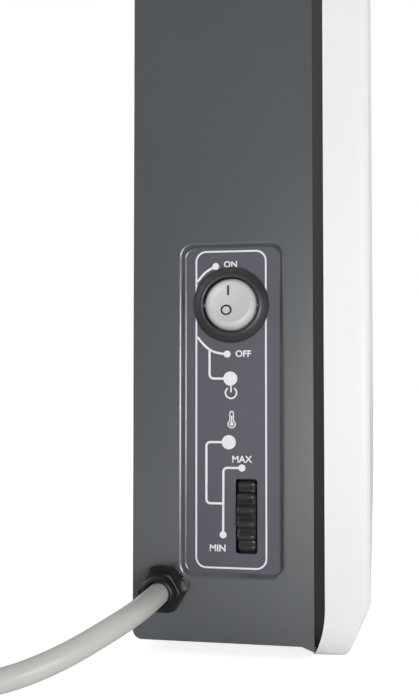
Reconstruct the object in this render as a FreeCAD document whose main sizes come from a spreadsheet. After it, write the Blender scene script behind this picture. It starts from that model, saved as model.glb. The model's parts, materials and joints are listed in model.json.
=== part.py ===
"""A wall-hung electric convector heater, modelled piece by piece as a parametric document.

X runs along the heater, with the control end at -X. The white front panel faces -Y and the wall
bracket is at +Y. Z is up, and the origin is on the floor under the middle of the heater.
All sizes are in millimetres. The sheet holds the driving sizes, and every piece is bound to it.
"""

import FreeCAD, Part
import math
import os
import re

import Sketcher

V = FreeCAD.Vector

# Driving sizes: alias, value and what it measures.
SIZES = {
    # White front panel, a shallow tray
    "panel_length": (500, "front panel, end to end"),
    "panel_height": (400, "front panel, bottom to top"),
    "panel_depth": (13.5, "front panel, front face to the rim of its end walls"),
    "panel_sheet": (1.0, "front panel steel"),
    "panel_corner": (10.5, "front panel corner radius, seen from the front"),
    "panel_edge": (2.0, "rounding where an end wall meets the front face"),
    "bevel_depth": (7.2, "how far the sloped lower and upper edges go back"),
    "bevel_height": (17, "height of the sloped lower and upper edges"),
    "bevel_bend": (8, "bend between the front face and a sloped edge"),
    "bevel_foot": (5, "bend between a sloped edge and the bottom or top wall"),
    "foot_flat": (6, "flat strip of the bottom and top walls, at their rim"),
    "foot_rise": (1.0, "how far the bottom and top walls draw in, from the flat strip to the front"),
    "rim_sweep": (4, "how far the bottom and top walls reach behind the end walls' rim"),
    "rim_sweep_height": (16, "height over which the rim sweeps back"),
    # Flared frame between the front panel and the casing
    "frame_gap": (0.4, "clearance between the flared frame and the front panel"),
    "frame_reach": (4, "how far the flared frame goes into the front panel"),
    "frame_wall": (6, "width of the flared frame's ring"),
    "flare_width": (3.4, "visible width of the flared frame"),
    "tongue_length": (6, "length of the frame's tongue inside the casing"),
    # Dark casing
    "case_depth": (56.3, "casing, front edge to back plate"),
    "case_inset": (3, "how much shorter the casing is than the front panel, each end"),
    "case_base": (3.6, "bottom of the casing above the bottom of the front panel"),
    "case_sheet": (1.0, "casing steel"),
    "case_bend": (3, "outside bend radius of the casing's back corners"),
    "case_flare": (1.5, "how far the casing's top and bottom front edges turn out"),
    "case_flare_length": (3.7, "length of those turned out edges"),
    "seat_gap": (0.15, "clearance where sheet pieces nest"),
    "flange_depth": (12, "flanges of the end panels"),
    "screw_inset": (9, "end panel screws, from the end plane"),
    "vent_length": (30, "air slot, front to back"),
    "vent_width": (6, "air slot, across"),
    "vent_pitch": (14, "spacing of the air slots"),
    "vent_count": (30, "number of air slots in the top and in the bottom"),
    "stand_pad_radius": (5, "pressed pads that the back of the casing stands on"),
    "stand_pad_spacing": (360, "spacing of the pressed pads"),
    # Control pocket in the end panel
    "control_from_back": (30.9, "control centre line, from the back plate"),
    "switch_height": (107.4, "centre of the switch above the floor"),
    "pocket_ahead": (16.3, "front edge of the pressed pocket, from the control centre line"),
    "pocket_behind": (15.65, "rear edge of the pocket, from the control centre line"),
    "pocket_above": (18.9, "top of the pocket above the switch centre"),
    "pocket_below": (84, "bottom of the pocket below the switch centre"),
    "pocket_corner": (4, "corner radius of the pocket"),
    "pocket_depth": (1.6, "depth of the pocket"),
    "pocket_slope": (36, "slope of the pocket's wall, in degrees from square"),
    "pocket_rim": (1.0, "rounding of the pocket's rim"),
    "pocket_root": (0.8, "rounding at the foot of the pocket's wall"),
    # Round rocker switch
    "bezel_dia": (23, "bezel of the switch"),
    "bezel_height": (2.6, "bezel above the pocket floor"),
    "bezel_top_dia": (18.4, "flat top of the bezel"),
    "switch_hole_dia": (20.2, "hole for the switch"),
    "switch_body_dia": (19.8, "switch body behind the panel"),
    "switch_body_depth": (16, "switch body behind the pocket floor"),
    "rocker_dia": (16.2, "rocker"),
    "rocker_gap": (0.3, "clearance round the rocker"),
    "rocker_face": (3.4, "rocker face above its pivot"),
    "rocker_low": (3.2, "rocker below its pivot"),
    "rocker_dish": (0.8, "depth of the rocker's dished face"),
    "rocker_dish_radius": (24, "radius of the dished face"),
    "rocker_pivot_in": (0.4, "pivot behind the pocket floor"),
    "rocker_tilt": (9, "tilt of the rocker from level, in degrees"),
    "pivot_pin_dia": (2.4, "pivot pin of the rocker"),
    "run_gap": (0.05, "radial clearance of turning fits"),
    "blade_width": (4.8, "flat terminals"),
    "blade_thick": (0.8, "flat terminals"),
    "blade_length": (8, "flat terminals"),
    "blade_spread": (7, "distance of the flat terminals from their centre line"),
    # Thermostat and its thumb wheel
    "wheel_dia": (34, "thumb wheel"),
    "wheel_width": (6, "thumb wheel"),
    "wheel_proud": (3.2, "thumb wheel above the pocket floor"),
    "wheel_offset": (4.7, "thumb wheel in front of the control centre line"),
    "wheel_below": (65.3, "thumb wheel below the switch centre"),
    "wheel_grips": (24, "scallops round the thumb wheel"),
    "grip_radius": (1.5, "radius of a scallop"),
    "slot_width": (6.7, "slot for the thumb wheel"),
    "slot_height": (22.9, "slot for the thumb wheel"),
    "slot_corner": (0.8, "corner radius of the slot"),
    "spindle_dia": (6, "thermostat spindle"),
    "thermo_plate": (1.5, "thermostat bracket steel"),
    "thermo_plate_gap": (1.0, "gap between the wheel and the bracket"),
    "thermo_length": (26, "thermostat body, along the heater"),
    "thermo_height": (34, "thermostat body"),
    "thermo_socket": (4, "depth of the spindle's socket"),
    # Cable gland
    "gland_offset": (20.4, "gland behind the control centre line"),
    "gland_z": (20.1, "centre of the gland above the floor"),
    "gland_flange_dia": (13.2, "flange of the gland"),
    "gland_flange": (3.4, "thickness of the flange"),
    "gland_thread_dia": (12, "threaded barrel of the gland"),
    "gland_barrel": (12, "barrel length behind the panel"),
    "gland_spigot_dia": (10.6, "spigot inside the cap"),
    "gland_spigot": (5, "length of the spigot"),
    "gland_bore_dia": (9.2, "bore of the gland"),
    "cap_flats": (13.4, "gland cap across its flats"),
    "cap_length": (6.2, "straight part of the cap"),
    "cap_nose": (2.2, "tapered nose of the cap"),
    "cap_nose_dia": (9.6, "small end of the nose"),
    "nut_flats": (13.6, "locknut across its flats"),
    "nut_thick": (3.5, "locknut"),
    "nut_clear": (0.75, "clearance between the locknut and the thermostat"),
    "thread_gap": (0.1, "radial clearance of threads and screw shanks"),
    # Mains cord, coil and plug
    "cord_dia": (6.6, "mains cord"),
    "coil_radius": (33, "middle of the coil's turns"),
    "coil_gap": (0.5, "gap between neighbouring turns"),
    "coil_outboard": (6.6, "centre of the coil out from the gland's nose, along the heater"),
    "coil_behind": (95.8, "centre of the coil behind the gland"),
    "plug_tail_x": (57, "tail of the plug from the coil's centre, along the heater"),
    "plug_tail_y": (29, "tail of the plug from the coil's centre, backwards"),
    "plug_turn": (5, "turn of the plug from the heater's length, in degrees"),
    "tie_thick": (0.7, "cord tie"),
    "tie_width": (10, "cord tie, along the cord"),
    "tie_gap": (0.3, "clearance between the tie and the coil"),
    "plug_dia": (36, "face of the plug"),
    "plug_face": (15, "straight part of the plug body"),
    "plug_taper": (17, "tapered part of the plug body"),
    "plug_neck_dia": (14, "plug body where its strain relief starts"),
    "relief_length": (22, "strain relief of the plug"),
    "relief_dia": (9.4, "strain relief at the cord"),
    "plug_pin_dia": (4.8, "plug pins"),
    "plug_pin_length": (19, "plug pins"),
    "plug_pin_spacing": (19, "plug pins, centre to centre"),
    "earth_clip_width": (6, "earth contacts of the plug"),
    "earth_clip_thick": (1.0, "earth contacts of the plug"),
    # Heating element and what carries it
    "element_height": (150, "heating element above the floor"),
    "element_from_back": (34, "heating element in front of the back plate"),
    "element_margin_near": (87, "finned part from the control end"),
    "element_margin_far": (57, "finned part from the plain end"),
    "hub_dia": (16, "core of the finned part"),
    "fin_width": (46, "fins, tip to tip"),
    "fin_thick": (2.4, "fins"),
    "fin_angle": (32, "slope of the fins, in degrees"),
    "rod_dia": (8, "sheathed rod in the core"),
    "rod_end": (14, "rod beyond the finned part"),
    "pin_dia": (3.2, "terminal pins of the rod"),
    "pin_length": (9, "terminal pins of the rod"),
    "bush_dia": (14, "insulating bushes on the rod"),
    "bush_length": (7, "insulating bushes"),
    "hanger_sheet": (1.2, "element hangers"),
    "hanger_height": (30, "element hangers"),
    "hanger_foot": (14, "feet of the element hangers"),
    "hanger_gap": (5, "gap between the fins and a hanger"),
    "shield_stand": (10, "heat shield in front of the back plate"),
    "shield_sheet": (0.6, "heat shield"),
    "shield_bottom": (80, "lower edge of the heat shield"),
    "shield_height": (170, "heat shield"),
    "shield_gap": (8, "gap between the heat shield and the hangers"),
    "cutout_dia": (16, "overheat cut-out"),
    "cutout_thick": (6, "overheat cut-out"),
    "cutout_above": (55, "cut-out above the heating element"),
    "cutout_from_end": (60, "cut-out from the far end of the fins"),
    # Wiring
    "block_length": (24, "terminal block, along the heater"),
    "block_depth": (14, "terminal block, front to back"),
    "block_height": (24, "terminal block"),
    "block_from_end": (24, "terminal block from the end plane"),
    "block_screw_dia": (4, "terminal screws"),
    "block_screw_length": (6, "terminal screws"),
    "core_dia": (2.4, "insulated wires"),
    "core_pitch": (7, "spacing of the wires at the terminal block"),
    "stud_dia": (4, "earth stud"),
    "stud_length": (11, "earth stud"),
    "stud_nut_flats": (7, "nut of the earth stud"),
    "stud_nut": (3.2, "nut of the earth stud"),
    "bulb_dia": (6, "sensor bulb"),
    "bulb_length": (50, "sensor bulb"),
    "bulb_height": (22, "sensor bulb above the floor"),
    "capillary_dia": (1.6, "capillary tube of the sensor"),
    "clip_width": (8, "sensor clip"),
    "clip_wall": (2, "sensor clip round the bulb"),
    # Fasteners and wall bracket
    "screw_dia": (2.9, "self-tapping screws"),
    "screw_length": (6, "self-tapping screws under the head"),
    "screw_head_dia": (5.6, "self-tapping screws"),
    "screw_head": (1.8, "self-tapping screws"),
    "screw_margin": (50, "end panel screws from the top and bottom"),
    "bracket_stand": (14, "wall plate behind the back plate"),
    "bracket_sheet": (1.5, "wall bracket steel"),
    "bracket_width": (260, "wall bracket"),
    "bracket_height": (150, "wall bracket"),
    "bracket_bottom": (150, "lower edge of the wall bracket above the floor"),
    "bracket_hole_dia": (7, "wall screw holes"),
    "bracket_hole_spacing_x": (220, "wall screw holes, along the heater"),
    "bracket_hole_spacing_z": (100, "wall screw holes, up"),
    "hook_width": (30, "hooks of the wall bracket"),
    "hook_height": (10, "hooks behind the back plate's slots"),
    "hook_spacing": (180, "hooks, centre to centre"),
    "ear_height": (14, "screw ears of the wall bracket"),
    "ear_width": (20, "screw ears of the wall bracket"),
}

# Places that follow from the driving sizes.
DERIVED = {
    "front_y": "-(panel_depth + flare_width + case_depth + bracket_stand) / 2",
    "rim_y": "front_y + panel_depth",
    "lip_y": "rim_y + flare_width",
    "back_y": "lip_y + case_depth",
    "inner_back_y": "back_y - case_sheet",
    "wall_y": "back_y + bracket_stand",
    "end_x": "panel_length / 2 - case_inset",
    "base_z": "case_base",
    "inner_base_z": "case_base + case_sheet",
    "top_z": "panel_height - case_base",
    "flare_y": "lip_y + seat_gap + case_flare_length",
    "cavity_y": "front_y + bevel_depth + panel_sheet + 1",
    "frame_inset": "panel_sheet + frame_gap",
    "tongue_inset": "case_sheet + seat_gap",
    "control_y": "back_y - control_from_back",
    "pocket_floor_x": "-end_x + pocket_depth",
    "pocket_inner_x": "pocket_floor_x + case_sheet",
    "wheel_x": "pocket_floor_x - wheel_proud + wheel_dia / 2",
    "wheel_y": "control_y - wheel_offset",
    "wheel_z": "switch_height - wheel_below",
    "thermo_plate_y": "wheel_y + wheel_width / 2 + thermo_plate_gap",
    "thermo_body_y": "thermo_plate_y + thermo_plate",
    "thermo_body_x": "pocket_inner_x + thermo_plate + run_gap * 6",
    "gland_y": "control_y + gland_offset",
    "thermo_depth": "gland_y - nut_flats / sqrt(3) - nut_clear - thermo_body_y",
    "cap_x": "-end_x - gland_flange - cap_length - cap_nose",
    "coil_x": "cap_x - coil_outboard",
    "coil_y": "gland_y + coil_behind",
    "element_y": "back_y - element_from_back",
    "element_start": "-end_x + element_margin_near",
    "element_end": "end_x - element_margin_far",
    "element_length": "element_end - element_start",
    "shield_y": "inner_back_y - shield_stand",
    "block_x": "-end_x + block_from_end",
    "block_end_x": "block_x + block_length",
    "block_y": "inner_back_y - block_depth",
    "stud_x": "block_end_x + 16",
    "bulb_x": "stud_x + 14",
    "bulb_y": "control_y - 8",
    "bracket_top": "bracket_bottom + bracket_height",
    "cutout_x": "element_end - cutout_from_end",
    "cutout_z": "element_height + cutout_above",
}

doc = FreeCAD.newDocument("convector_heater")
sheet = doc.addObject("Spreadsheet::Sheet", "Sizes")
for row, (alias, (number, meaning)) in enumerate(SIZES.items(), start=1):
    sheet.set(f"A{row}", meaning)
    sheet.set(f"B{row}", str(number))
    sheet.setAlias(f"B{row}", alias)
doc.recompute()

nodes = {}


def ex(text):
    """An expression on the sheet, from plain text with aliases and derived names."""

    def cell(match):
        word = match.group(0)
        if word in DERIVED:
            return f"({ex(DERIVED[word])})"
        return f"Sizes.{word}" if word in SIZES else word

    return re.sub(r"[a-z][a-z0-9_]*", cell, str(text))


def value(text):
    """The number that an expression has now."""
    return float(sheet.evalExpression(ex(text)))


def point(x, y, z):
    return V(value(x), value(y), value(z))


def bind(thing, **expressions):
    for name, text in expressions.items():
        thing.setExpression(name, ex(text))


def place(thing, x="0", y="0", z="0"):
    for axis, text in zip("xyz", (x, y, z)):
        thing.setExpression(f"Placement.Base.{axis}", ex(text))


def keep(label, thing):
    """Makes an object a sub-part: its label names its node."""
    thing.Label = label
    nodes[label] = thing
    return thing


# Part primitives and booleans

TURN = {
    "X": FreeCAD.Rotation(V(0, 1, 0), 90),
    "Y": FreeCAD.Rotation(V(1, 0, 0), -90),
    "Z": FreeCAD.Rotation(),
}


def box(x, y, z, length, width, height):
    thing = doc.addObject("Part::Box", "Block")
    bind(thing, Length=length, Width=width, Height=height)
    place(thing, x, y, z)
    return thing


def along(kind, name, axis, x, y, z, **sizes):
    """A round primitive that starts at a point and runs along a positive axis."""
    thing = doc.addObject(f"Part::{kind}", name)
    thing.Placement = FreeCAD.Placement(V(), TURN[axis])
    bind(thing, **sizes)
    place(thing, x, y, z)
    return thing


def cylinder(axis, x, y, z, radius, height):
    return along("Cylinder", "Round", axis, x, y, z, Radius=radius, Height=height)


def cone(axis, x, y, z, first, last, height):
    return along("Cone", "Taper", axis, x, y, z, Radius1=first, Radius2=last, Height=height)


def hexagon(axis, x, y, z, flats, height):
    corner = f"({flats}) / (2 * cos(30 deg))"
    return along("Prism", "Hexagon", axis, x, y, z, Circumradius=corner, Height=height)


def fuse(*things):
    joined = doc.addObject("Part::MultiFuse", "Joined")
    joined.Shapes = list(things)
    return joined


def cut(base, *tools):
    result = doc.addObject("Part::Cut", "Trimmed")
    result.Base = base
    result.Tool = tools[0] if len(tools) == 1 else fuse(*tools)
    return result


# PartDesign bodies and sketches

PLANES = {"XY": "XY_Plane", "XZ": "XZ_Plane", "YZ": "YZ_Plane"}


def sketch(body, plane, at="0"):
    """A sketch on a plane of the body's origin, at a place along the third axis."""
    drawing = body.newObject("Sketcher::SketchObject", "Drawing")
    role = PLANES[plane]
    drawing.AttachmentSupport = ([f for f in body.Origin.OriginFeatures if f.Role == role][0], [""])
    drawing.MapMode = "FlatFace"
    sign = "-" if plane == "XZ" else ""
    drawing.setExpression("AttachmentOffset.Base.z", ex(f"{sign}({at})"))
    return drawing


def dimension(drawing, kind, text, *where):
    """A dimension of a sketch that follows an expression."""
    index = drawing.addConstraint(Sketcher.Constraint(kind, *where, value(text)))
    name = f"size_{index}"
    drawing.renameConstraint(index, name)
    drawing.setExpression(f"Constraints.{name}", ex(text))


def pin_point(drawing, geometry, end, x, y):
    dimension(drawing, "DistanceX", x, -1, 1, geometry, end)
    dimension(drawing, "DistanceY", y, -1, 1, geometry, end)


def polygon(drawing, points, arcs=None):
    """A closed outline through points. The arcs, by the number of the point that they start at, have a
    radius and a point that they pass through."""
    arcs = arcs or {}
    first = drawing.GeometryCount
    corners = [V(value(x), value(y), 0) for x, y in points]
    count = len(corners)
    ends = []
    for i, start in enumerate(corners):
        stop = corners[(i + 1) % count]
        shape, order = Part.LineSegment(start, stop), (1, 2)
        if i in arcs:
            x, y = arcs[i][1]
            via = V(value(x), value(y), 0)
            clockwise = (via - start).cross(stop - via).z < 0
            shape = Part.Arc(stop, via, start) if clockwise else Part.Arc(start, via, stop)
            order = (2, 1) if clockwise else (1, 2)
        drawing.addGeometry(shape)
        ends.append(order)
    for i, (x, y) in enumerate(points):
        before = (i - 1) % count
        joint = (first + before, ends[before][1], first + i, ends[i][0])
        drawing.addConstraint(Sketcher.Constraint("Coincident", *joint))
        pin_point(drawing, first + i, ends[i][0], x, y)
    for i, (radius, _) in arcs.items():
        dimension(drawing, "Radius", radius, first + i)


def rectangle(drawing, x0, y0, x1, y1):
    polygon(drawing, [(x0, y0), (x1, y0), (x1, y1), (x0, y1)])


def rounded(drawing, x0, y0, x1, y1, radius):
    """A rectangle with rounded corners, four lines and four tangent arcs."""
    first = drawing.GeometryCount
    left, low, right, high, r = (value(t) for t in (x0, y0, x1, y1, radius))
    line, arc = Part.LineSegment, Part.ArcOfCircle
    quarter = math.pi / 2
    centres = [V(right - r, low + r), V(right - r, high - r), V(left + r, high - r), V(left + r, low + r)]
    sides = [
        line(V(left + r, low), V(right - r, low)),
        line(V(right, low + r), V(right, high - r)),
        line(V(right - r, high), V(left + r, high)),
        line(V(left, high - r), V(left, low + r)),
    ]
    for i, (side, centre) in enumerate(zip(sides, centres)):
        drawing.addGeometry(side)
        drawing.addGeometry(arc(Part.Circle(centre, V(0, 0, 1), r), (i - 1) * quarter, i * quarter))
    for i in range(8):
        joint = (first + i, 2, first + (i + 1) % 8, 1)
        drawing.addConstraint(Sketcher.Constraint("Tangent", *joint))
    for i in (3, 5, 7):
        drawing.addConstraint(Sketcher.Constraint("Equal", first + 1, first + i))
    for i, kind in ((0, "Horizontal"), (2, "Vertical")):
        drawing.addConstraint(Sketcher.Constraint(kind, first + i))
    dimension(drawing, "Radius", radius, first + 1)
    dimension(drawing, "DistanceY", y0, -1, 1, first, 1)
    dimension(drawing, "DistanceX", x1, -1, 1, first + 2, 1)
    dimension(drawing, "DistanceY", y1, -1, 1, first + 4, 1)
    dimension(drawing, "DistanceX", x0, -1, 1, first + 6, 1)


def circle(drawing, x, y, radius):
    index = drawing.addGeometry(Part.Circle(V(value(x), value(y), 0), V(0, 0, 1), value(radius)))
    pin_point(drawing, index, 3, x, y)
    dimension(drawing, "Radius", radius, index)


def pad(body, drawing, length, backwards=False, both=False):
    feature = body.newObject("PartDesign::Pad", "Raised")
    feature.Profile = drawing
    feature.Reversed = backwards
    feature.SideType = "Symmetric" if both else "One side"
    bind(feature, Length=length)
    doc.recompute()
    return feature


def pocket(body, drawing, length=None, backwards=False, both=False):
    """A cut from a sketch, through everything where no length is given. It has to take material away."""
    before = body.Shape.Volume
    feature = body.newObject("PartDesign::Pocket", "Sunk")
    feature.Profile = drawing
    feature.Reversed = backwards
    feature.SideType = "Symmetric" if both else "One side"
    if length is None:
        feature.Type = "ThroughAll"
    else:
        bind(feature, Length=length)
    doc.recompute()
    if body.Shape.Volume >= before:
        raise ValueError(f"a cut in {body.Label} takes nothing away")
    return feature


def edges_at(shape, *lines):
    """The names of straight edges along X that lie at one of the given (y, z) places."""
    found = []
    for number, edge in enumerate(shape.Edges, start=1):
        ends = [v.Point for v in edge.Vertexes]
        if len(ends) != 2 or abs(ends[0].x - ends[1].x) < 1e-3:
            continue
        for y, z in lines:
            if all(abs(p.y - y) < 1e-4 and abs(p.z - z) < 1e-4 for p in ends):
                found.append(f"Edge{number}")
    return found


def edges_in_plane(shape, x, low, high):
    """The names of edges that lie at one x, inside a (y, z) window."""
    found = []
    for number, edge in enumerate(shape.Edges, start=1):
        box_of = edge.BoundBox
        level = abs(box_of.XMin - x) < 1e-4 and abs(box_of.XMax - x) < 1e-4
        in_y = box_of.YMin > low[0] and box_of.YMax < high[0]
        in_z = box_of.ZMin > low[1] and box_of.ZMax < high[1]
        if level and in_y and in_z:
            found.append(f"Edge{number}")
    return found


def fillet(body, feature, names, radius):
    rounding = body.newObject("PartDesign::Fillet", "Bend")
    rounding.Base = (feature, names)
    bind(rounding, Radius=radius)
    doc.recompute()
    return rounding


def part_body(label):
    return keep(label, doc.addObject("PartDesign::Body", label))


# Tubes along straight runs and arcs


def rounded_route(corners):
    """The edges of a route whose corners are arcs as large as their runs allow, and those radii."""
    edges, radii, last = [], [], corners[0]
    for before, corner, after in zip(corners, corners[1:], corners[2:]):
        back, on = before - corner, after - corner
        trim = 0.45 * min(back.Length, on.Length)
        turn = math.pi - back.getAngle(on)
        radii.append(trim / math.tan(turn / 2))
        back.normalize()
        on.normalize()
        start, stop = corner + back * trim, corner + on * trim
        inward = (back + on).normalize()
        sagitta = radii[-1] / math.cos(turn / 2) - radii[-1]
        edges.append(Part.LineSegment(last, start).toShape())
        edges.append(Part.Arc(start, corner + inward * sagitta, stop).toShape())
        last = stop
    edges.append(Part.LineSegment(last, corners[-1]).toShape())
    return edges, radii


def tube(label, corners, radius):
    """A round tube along a route, checked against its section times its length."""
    edges, radii = rounded_route(corners)
    path = Part.Wire(edges)
    start = (corners[1] - corners[0]).normalize()
    ring = Part.Wire(Part.Circle(corners[0], start, radius).toShape())
    solid = path.makePipeShell([ring], True, False)
    share = solid.Volume / (math.pi * radius**2 * path.Length)
    if abs(share - 1) > 0.01:
        raise ValueError(f"{label} has {share:.3f} of the volume that its route gives")
    thing = doc.addObject("Part::Feature", label)
    thing.Shape = solid
    thing.Placement = FreeCAD.Placement()
    keep(label, thing)
    return path.Length, min(radii)


# Front panel, flared frame and casing


def front_panel():
    """A tray with sloped lower and upper edges, rounded corners and a rim that sweeps back."""
    body = part_body("front_panel")
    outline = sketch(body, "YZ")
    high = "panel_height"
    sweep = "(rim_sweep ^ 2 + rim_sweep_height ^ 2) / (2 * rim_sweep)"
    half_turn = "atan(rim_sweep / rim_sweep_height)"
    bow = f"({sweep}) * (1 - cos({half_turn}))"
    lift = f"(rim_sweep_height - ({sweep}) * sin({half_turn}))"
    polygon(
        outline,
        [
            ("front_y", "bevel_height"),
            ("front_y + bevel_depth", "foot_rise"),
            ("rim_y + rim_sweep - foot_flat", "0"),
            ("rim_y + rim_sweep", "0"),
            ("rim_y", "rim_sweep_height"),
            ("rim_y", f"{high} - rim_sweep_height"),
            ("rim_y + rim_sweep", high),
            ("rim_y + rim_sweep - foot_flat", high),
            ("front_y + bevel_depth", f"{high} - foot_rise"),
            ("front_y", f"{high} - bevel_height"),
        ],
        {3: (sweep, (f"rim_y + {bow}", lift)), 5: (sweep, (f"rim_y + {bow}", f"{high} - {lift}"))},
    )
    block = pad(body, outline, "panel_length", both=True)
    front, foot, low, top = (value(t) for t in ("front_y", "front_y + bevel_depth", "bevel_height", high))
    bends = edges_at(block.Shape, (front, low), (front, top - low))
    bent = fillet(body, block, bends, "bevel_bend")
    rise = value("foot_rise")
    feet = edges_at(bent.Shape, (foot, rise), (foot, top - rise))
    bent = fillet(body, bent, feet, "bevel_foot")
    ends = [
        f"Edge{n}"
        for n, edge in enumerate(bent.Shape.Edges, start=1)
        if all(abs(v.Point.y - front) < 1e-4 for v in edge.Vertexes)
        and abs(edge.Vertexes[0].Point.z - edge.Vertexes[-1].Point.z) > low
    ]
    fillet(body, bent, ends, "panel_edge")
    corners = sketch(body, "XZ")
    reach = "panel_length / 2"
    rectangle(corners, f"-{reach} - 5", "-5", f"{reach} + 5", f"{high} + 5")
    rounded(corners, f"-{reach}", "0", reach, high, "panel_corner")
    pocket(body, corners, both=True)
    hollow = sketch(body, "XZ", "cavity_y")
    wall = "panel_sheet"
    rounded(
        hollow,
        f"-{reach} + {wall}",
        wall,
        f"{reach} - {wall}",
        f"{high} - {wall}",
        "panel_corner - panel_sheet",
    )
    pocket(body, hollow)
    face = sketch(body, "XZ", "front_y + panel_sheet")
    side, foot = "panel_sheet + panel_edge", "bevel_height + panel_sheet"
    rectangle(face, f"-{reach} + {side}", foot, f"{reach} - ({side})", f"{high} - ({foot})")
    pocket(body, face)


def joint_frame():
    """The dark ring that flares from the casing out to the front panel, with a tongue in the casing."""
    body = part_body("joint_frame")

    def outline(drawing, inset):
        reach = f"panel_length / 2 - ({inset})"
        radius = f"panel_corner - ({inset})"
        rounded(drawing, f"-({reach})", inset, reach, f"panel_height - ({inset})", radius)

    small, large = sketch(body, "XZ", "lip_y"), sketch(body, "XZ", "rim_y")
    rounded(
        small, "-end_x", "base_z - case_flare", "end_x", "top_z + case_flare", "panel_corner - case_inset"
    )
    outline(large, "frame_inset")
    flare = body.newObject("PartDesign::AdditiveLoft", "Flare")
    flare.Profile = small
    flare.Sections = [large]
    flare.Ruled = True
    doc.recompute()
    band = sketch(body, "XZ", "rim_y")
    outline(band, "frame_inset")
    pad(body, band, "frame_reach")
    tongue = sketch(body, "XZ", "lip_y")
    reach = "end_x - tongue_inset"
    rectangle(tongue, f"-({reach})", "base_z + tongue_inset", reach, "top_z - tongue_inset")
    pad(body, tongue, "tongue_length", backwards=True)
    opening = sketch(body, "XZ", "back_y")
    inside = "tongue_inset + frame_wall"
    rectangle(
        opening,
        f"-(end_x - ({inside}))",
        f"base_z + {inside}",
        f"end_x - ({inside})",
        f"top_z - ({inside})",
    )
    pocket(body, opening, backwards=True)


def screw_heights():
    return ["base_z + screw_margin", "panel_height / 2", "top_z - screw_margin"]


SCREW_X = "end_x - screw_inset"


def casing_wrap():
    """Back plate, top and bottom bent from one sheet, with air slots and the slots for the hooks."""
    body = part_body("casing_wrap")
    profile = sketch(body, "YZ")
    edge, bend = "lip_y + seat_gap", "flare_y"
    wall, out = "case_sheet", "case_flare"
    lower = [
        (edge, f"base_z - {out} + {wall}"),
        (edge, f"base_z - {out}"),
        (bend, "base_z"),
        ("back_y", "base_z"),
    ]
    inner = [("back_y - case_sheet", f"base_z + {wall}"), (bend, f"base_z + {wall}")]
    mirror = [(y, f"panel_height - ({z})") for y, z in reversed(lower)]
    mirror_inner = [(y, f"panel_height - ({z})") for y, z in reversed(inner)]
    polygon(profile, lower + mirror + mirror_inner + inner)
    sheet_body = pad(body, profile, "2 * (end_x - case_sheet - seat_gap)", both=True)
    back, inside, low, high = (value(t) for t in ("back_y", "inner_back_y", "base_z", "top_z"))
    wall_now = value("case_sheet")
    outer = edges_at(sheet_body.Shape, (back, low), (back, high))
    rounded_sheet = fillet(body, sheet_body, outer, "case_bend")
    inner_edges = edges_at(rounded_sheet.Shape, (inside, low + wall_now), (inside, high - wall_now))
    fillet(body, rounded_sheet, inner_edges, "case_bend - case_sheet")
    pads = sketch(body, "XY", "base_z + case_sheet / 2")
    for side in ("-", ""):
        circle(
            pads,
            f"{side}stand_pad_spacing / 2",
            "back_y - case_bend - stand_pad_radius - 1",
            "stand_pad_radius",
        )
    pad(body, pads, "base_z + case_sheet / 2", backwards=True)
    vent = sketch(body, "XY")
    middle = "(lip_y + tongue_length + back_y) / 2"
    first = "-(vent_count - 1) * vent_pitch / 2"
    rounded(
        vent,
        f"{first} - vent_width / 2",
        f"{middle} - vent_length / 2",
        f"{first} + vent_width / 2",
        f"{middle} + vent_length / 2",
        "vent_width / 2 - 0.1",
    )
    slot = pocket(body, vent, both=True)
    row = body.newObject("PartDesign::LinearPattern", "Vents")
    row.Originals = [slot]
    row.Direction = (vent, ["H_Axis"])
    bind(row, Length="(vent_count - 1) * vent_pitch", Occurrences="vent_count")
    body.Tip = row
    doc.recompute()
    back_cuts = sketch(body, "XZ", "back_y - case_bend")
    for side in ("-", ""):
        hook = f"{side}hook_spacing / 2"
        half = "hook_width / 2 + seat_gap * 2"
        rectangle(
            back_cuts,
            f"{hook} - ({half})",
            "bracket_top - bracket_sheet - seat_gap * 2",
            f"{hook} + {half}",
            "bracket_top + hook_height + seat_gap * 2",
        )
        ear = f"{side}(bracket_width - ear_width) / 2"
        circle(back_cuts, ear, "bracket_bottom - ear_height / 2", "screw_dia / 2 + thread_gap")
        for height in screw_heights():
            circle(back_cuts, f"{side}({SCREW_X})", height, "screw_dia / 2 + thread_gap")
    pocket(body, back_cuts)


def end_panel(label, side):
    """A pressed end panel that covers the edge of the wrap, with three flanges inside it and an open
    front; side is -1 at the controls."""
    body = part_body(label)
    sign = "-" if side < 0 else ""
    away = side > 0
    gap = "case_sheet + seat_gap"
    low, high, rear = f"base_z + {gap}", f"top_z - ({gap})", f"back_y - ({gap})"
    plate = sketch(body, "YZ", f"{sign}(end_x)")
    polygon(
        plate,
        [
            ("lip_y", "base_z - case_flare"),
            ("flare_y", "base_z"),
            ("back_y", "base_z"),
            ("back_y", "top_z"),
            ("flare_y", "top_z"),
            ("lip_y", "top_z + case_flare"),
        ],
    )
    flat = pad(body, plate, "case_sheet", backwards=away)
    back, bottom, top = (value(t) for t in ("back_y", "base_z", "top_z"))
    fillet(body, flat, edges_at(flat.Shape, (back, bottom), (back, top)), "case_bend")
    rim = sketch(body, "YZ", f"{sign}(end_x)")
    start = "lip_y + tongue_length + 2 * seat_gap"
    rectangle(rim, start, low, rear, high)
    raised = pad(body, rim, "flange_depth", backwards=away)
    rear_y, low_z, high_z = (value(t) for t in (rear, low, high))
    fillet(
        body, raised, edges_at(raised.Shape, (rear_y, low_z), (rear_y, high_z)), "case_bend - case_sheet"
    )
    hollow = sketch(body, "YZ", f"{sign}(end_x - case_sheet)")
    rectangle(hollow, "lip_y - 1", f"{low} + case_sheet", f"{rear} - case_sheet", f"{high} - case_sheet")
    pocket(body, hollow, backwards=not away)
    holes = sketch(body, "XZ", "back_y - case_bend")
    for height in screw_heights():
        circle(holes, f"{sign}({SCREW_X})", height, "screw_dia / 2 + thread_gap")
    pocket(body, holes)
    return body


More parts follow.
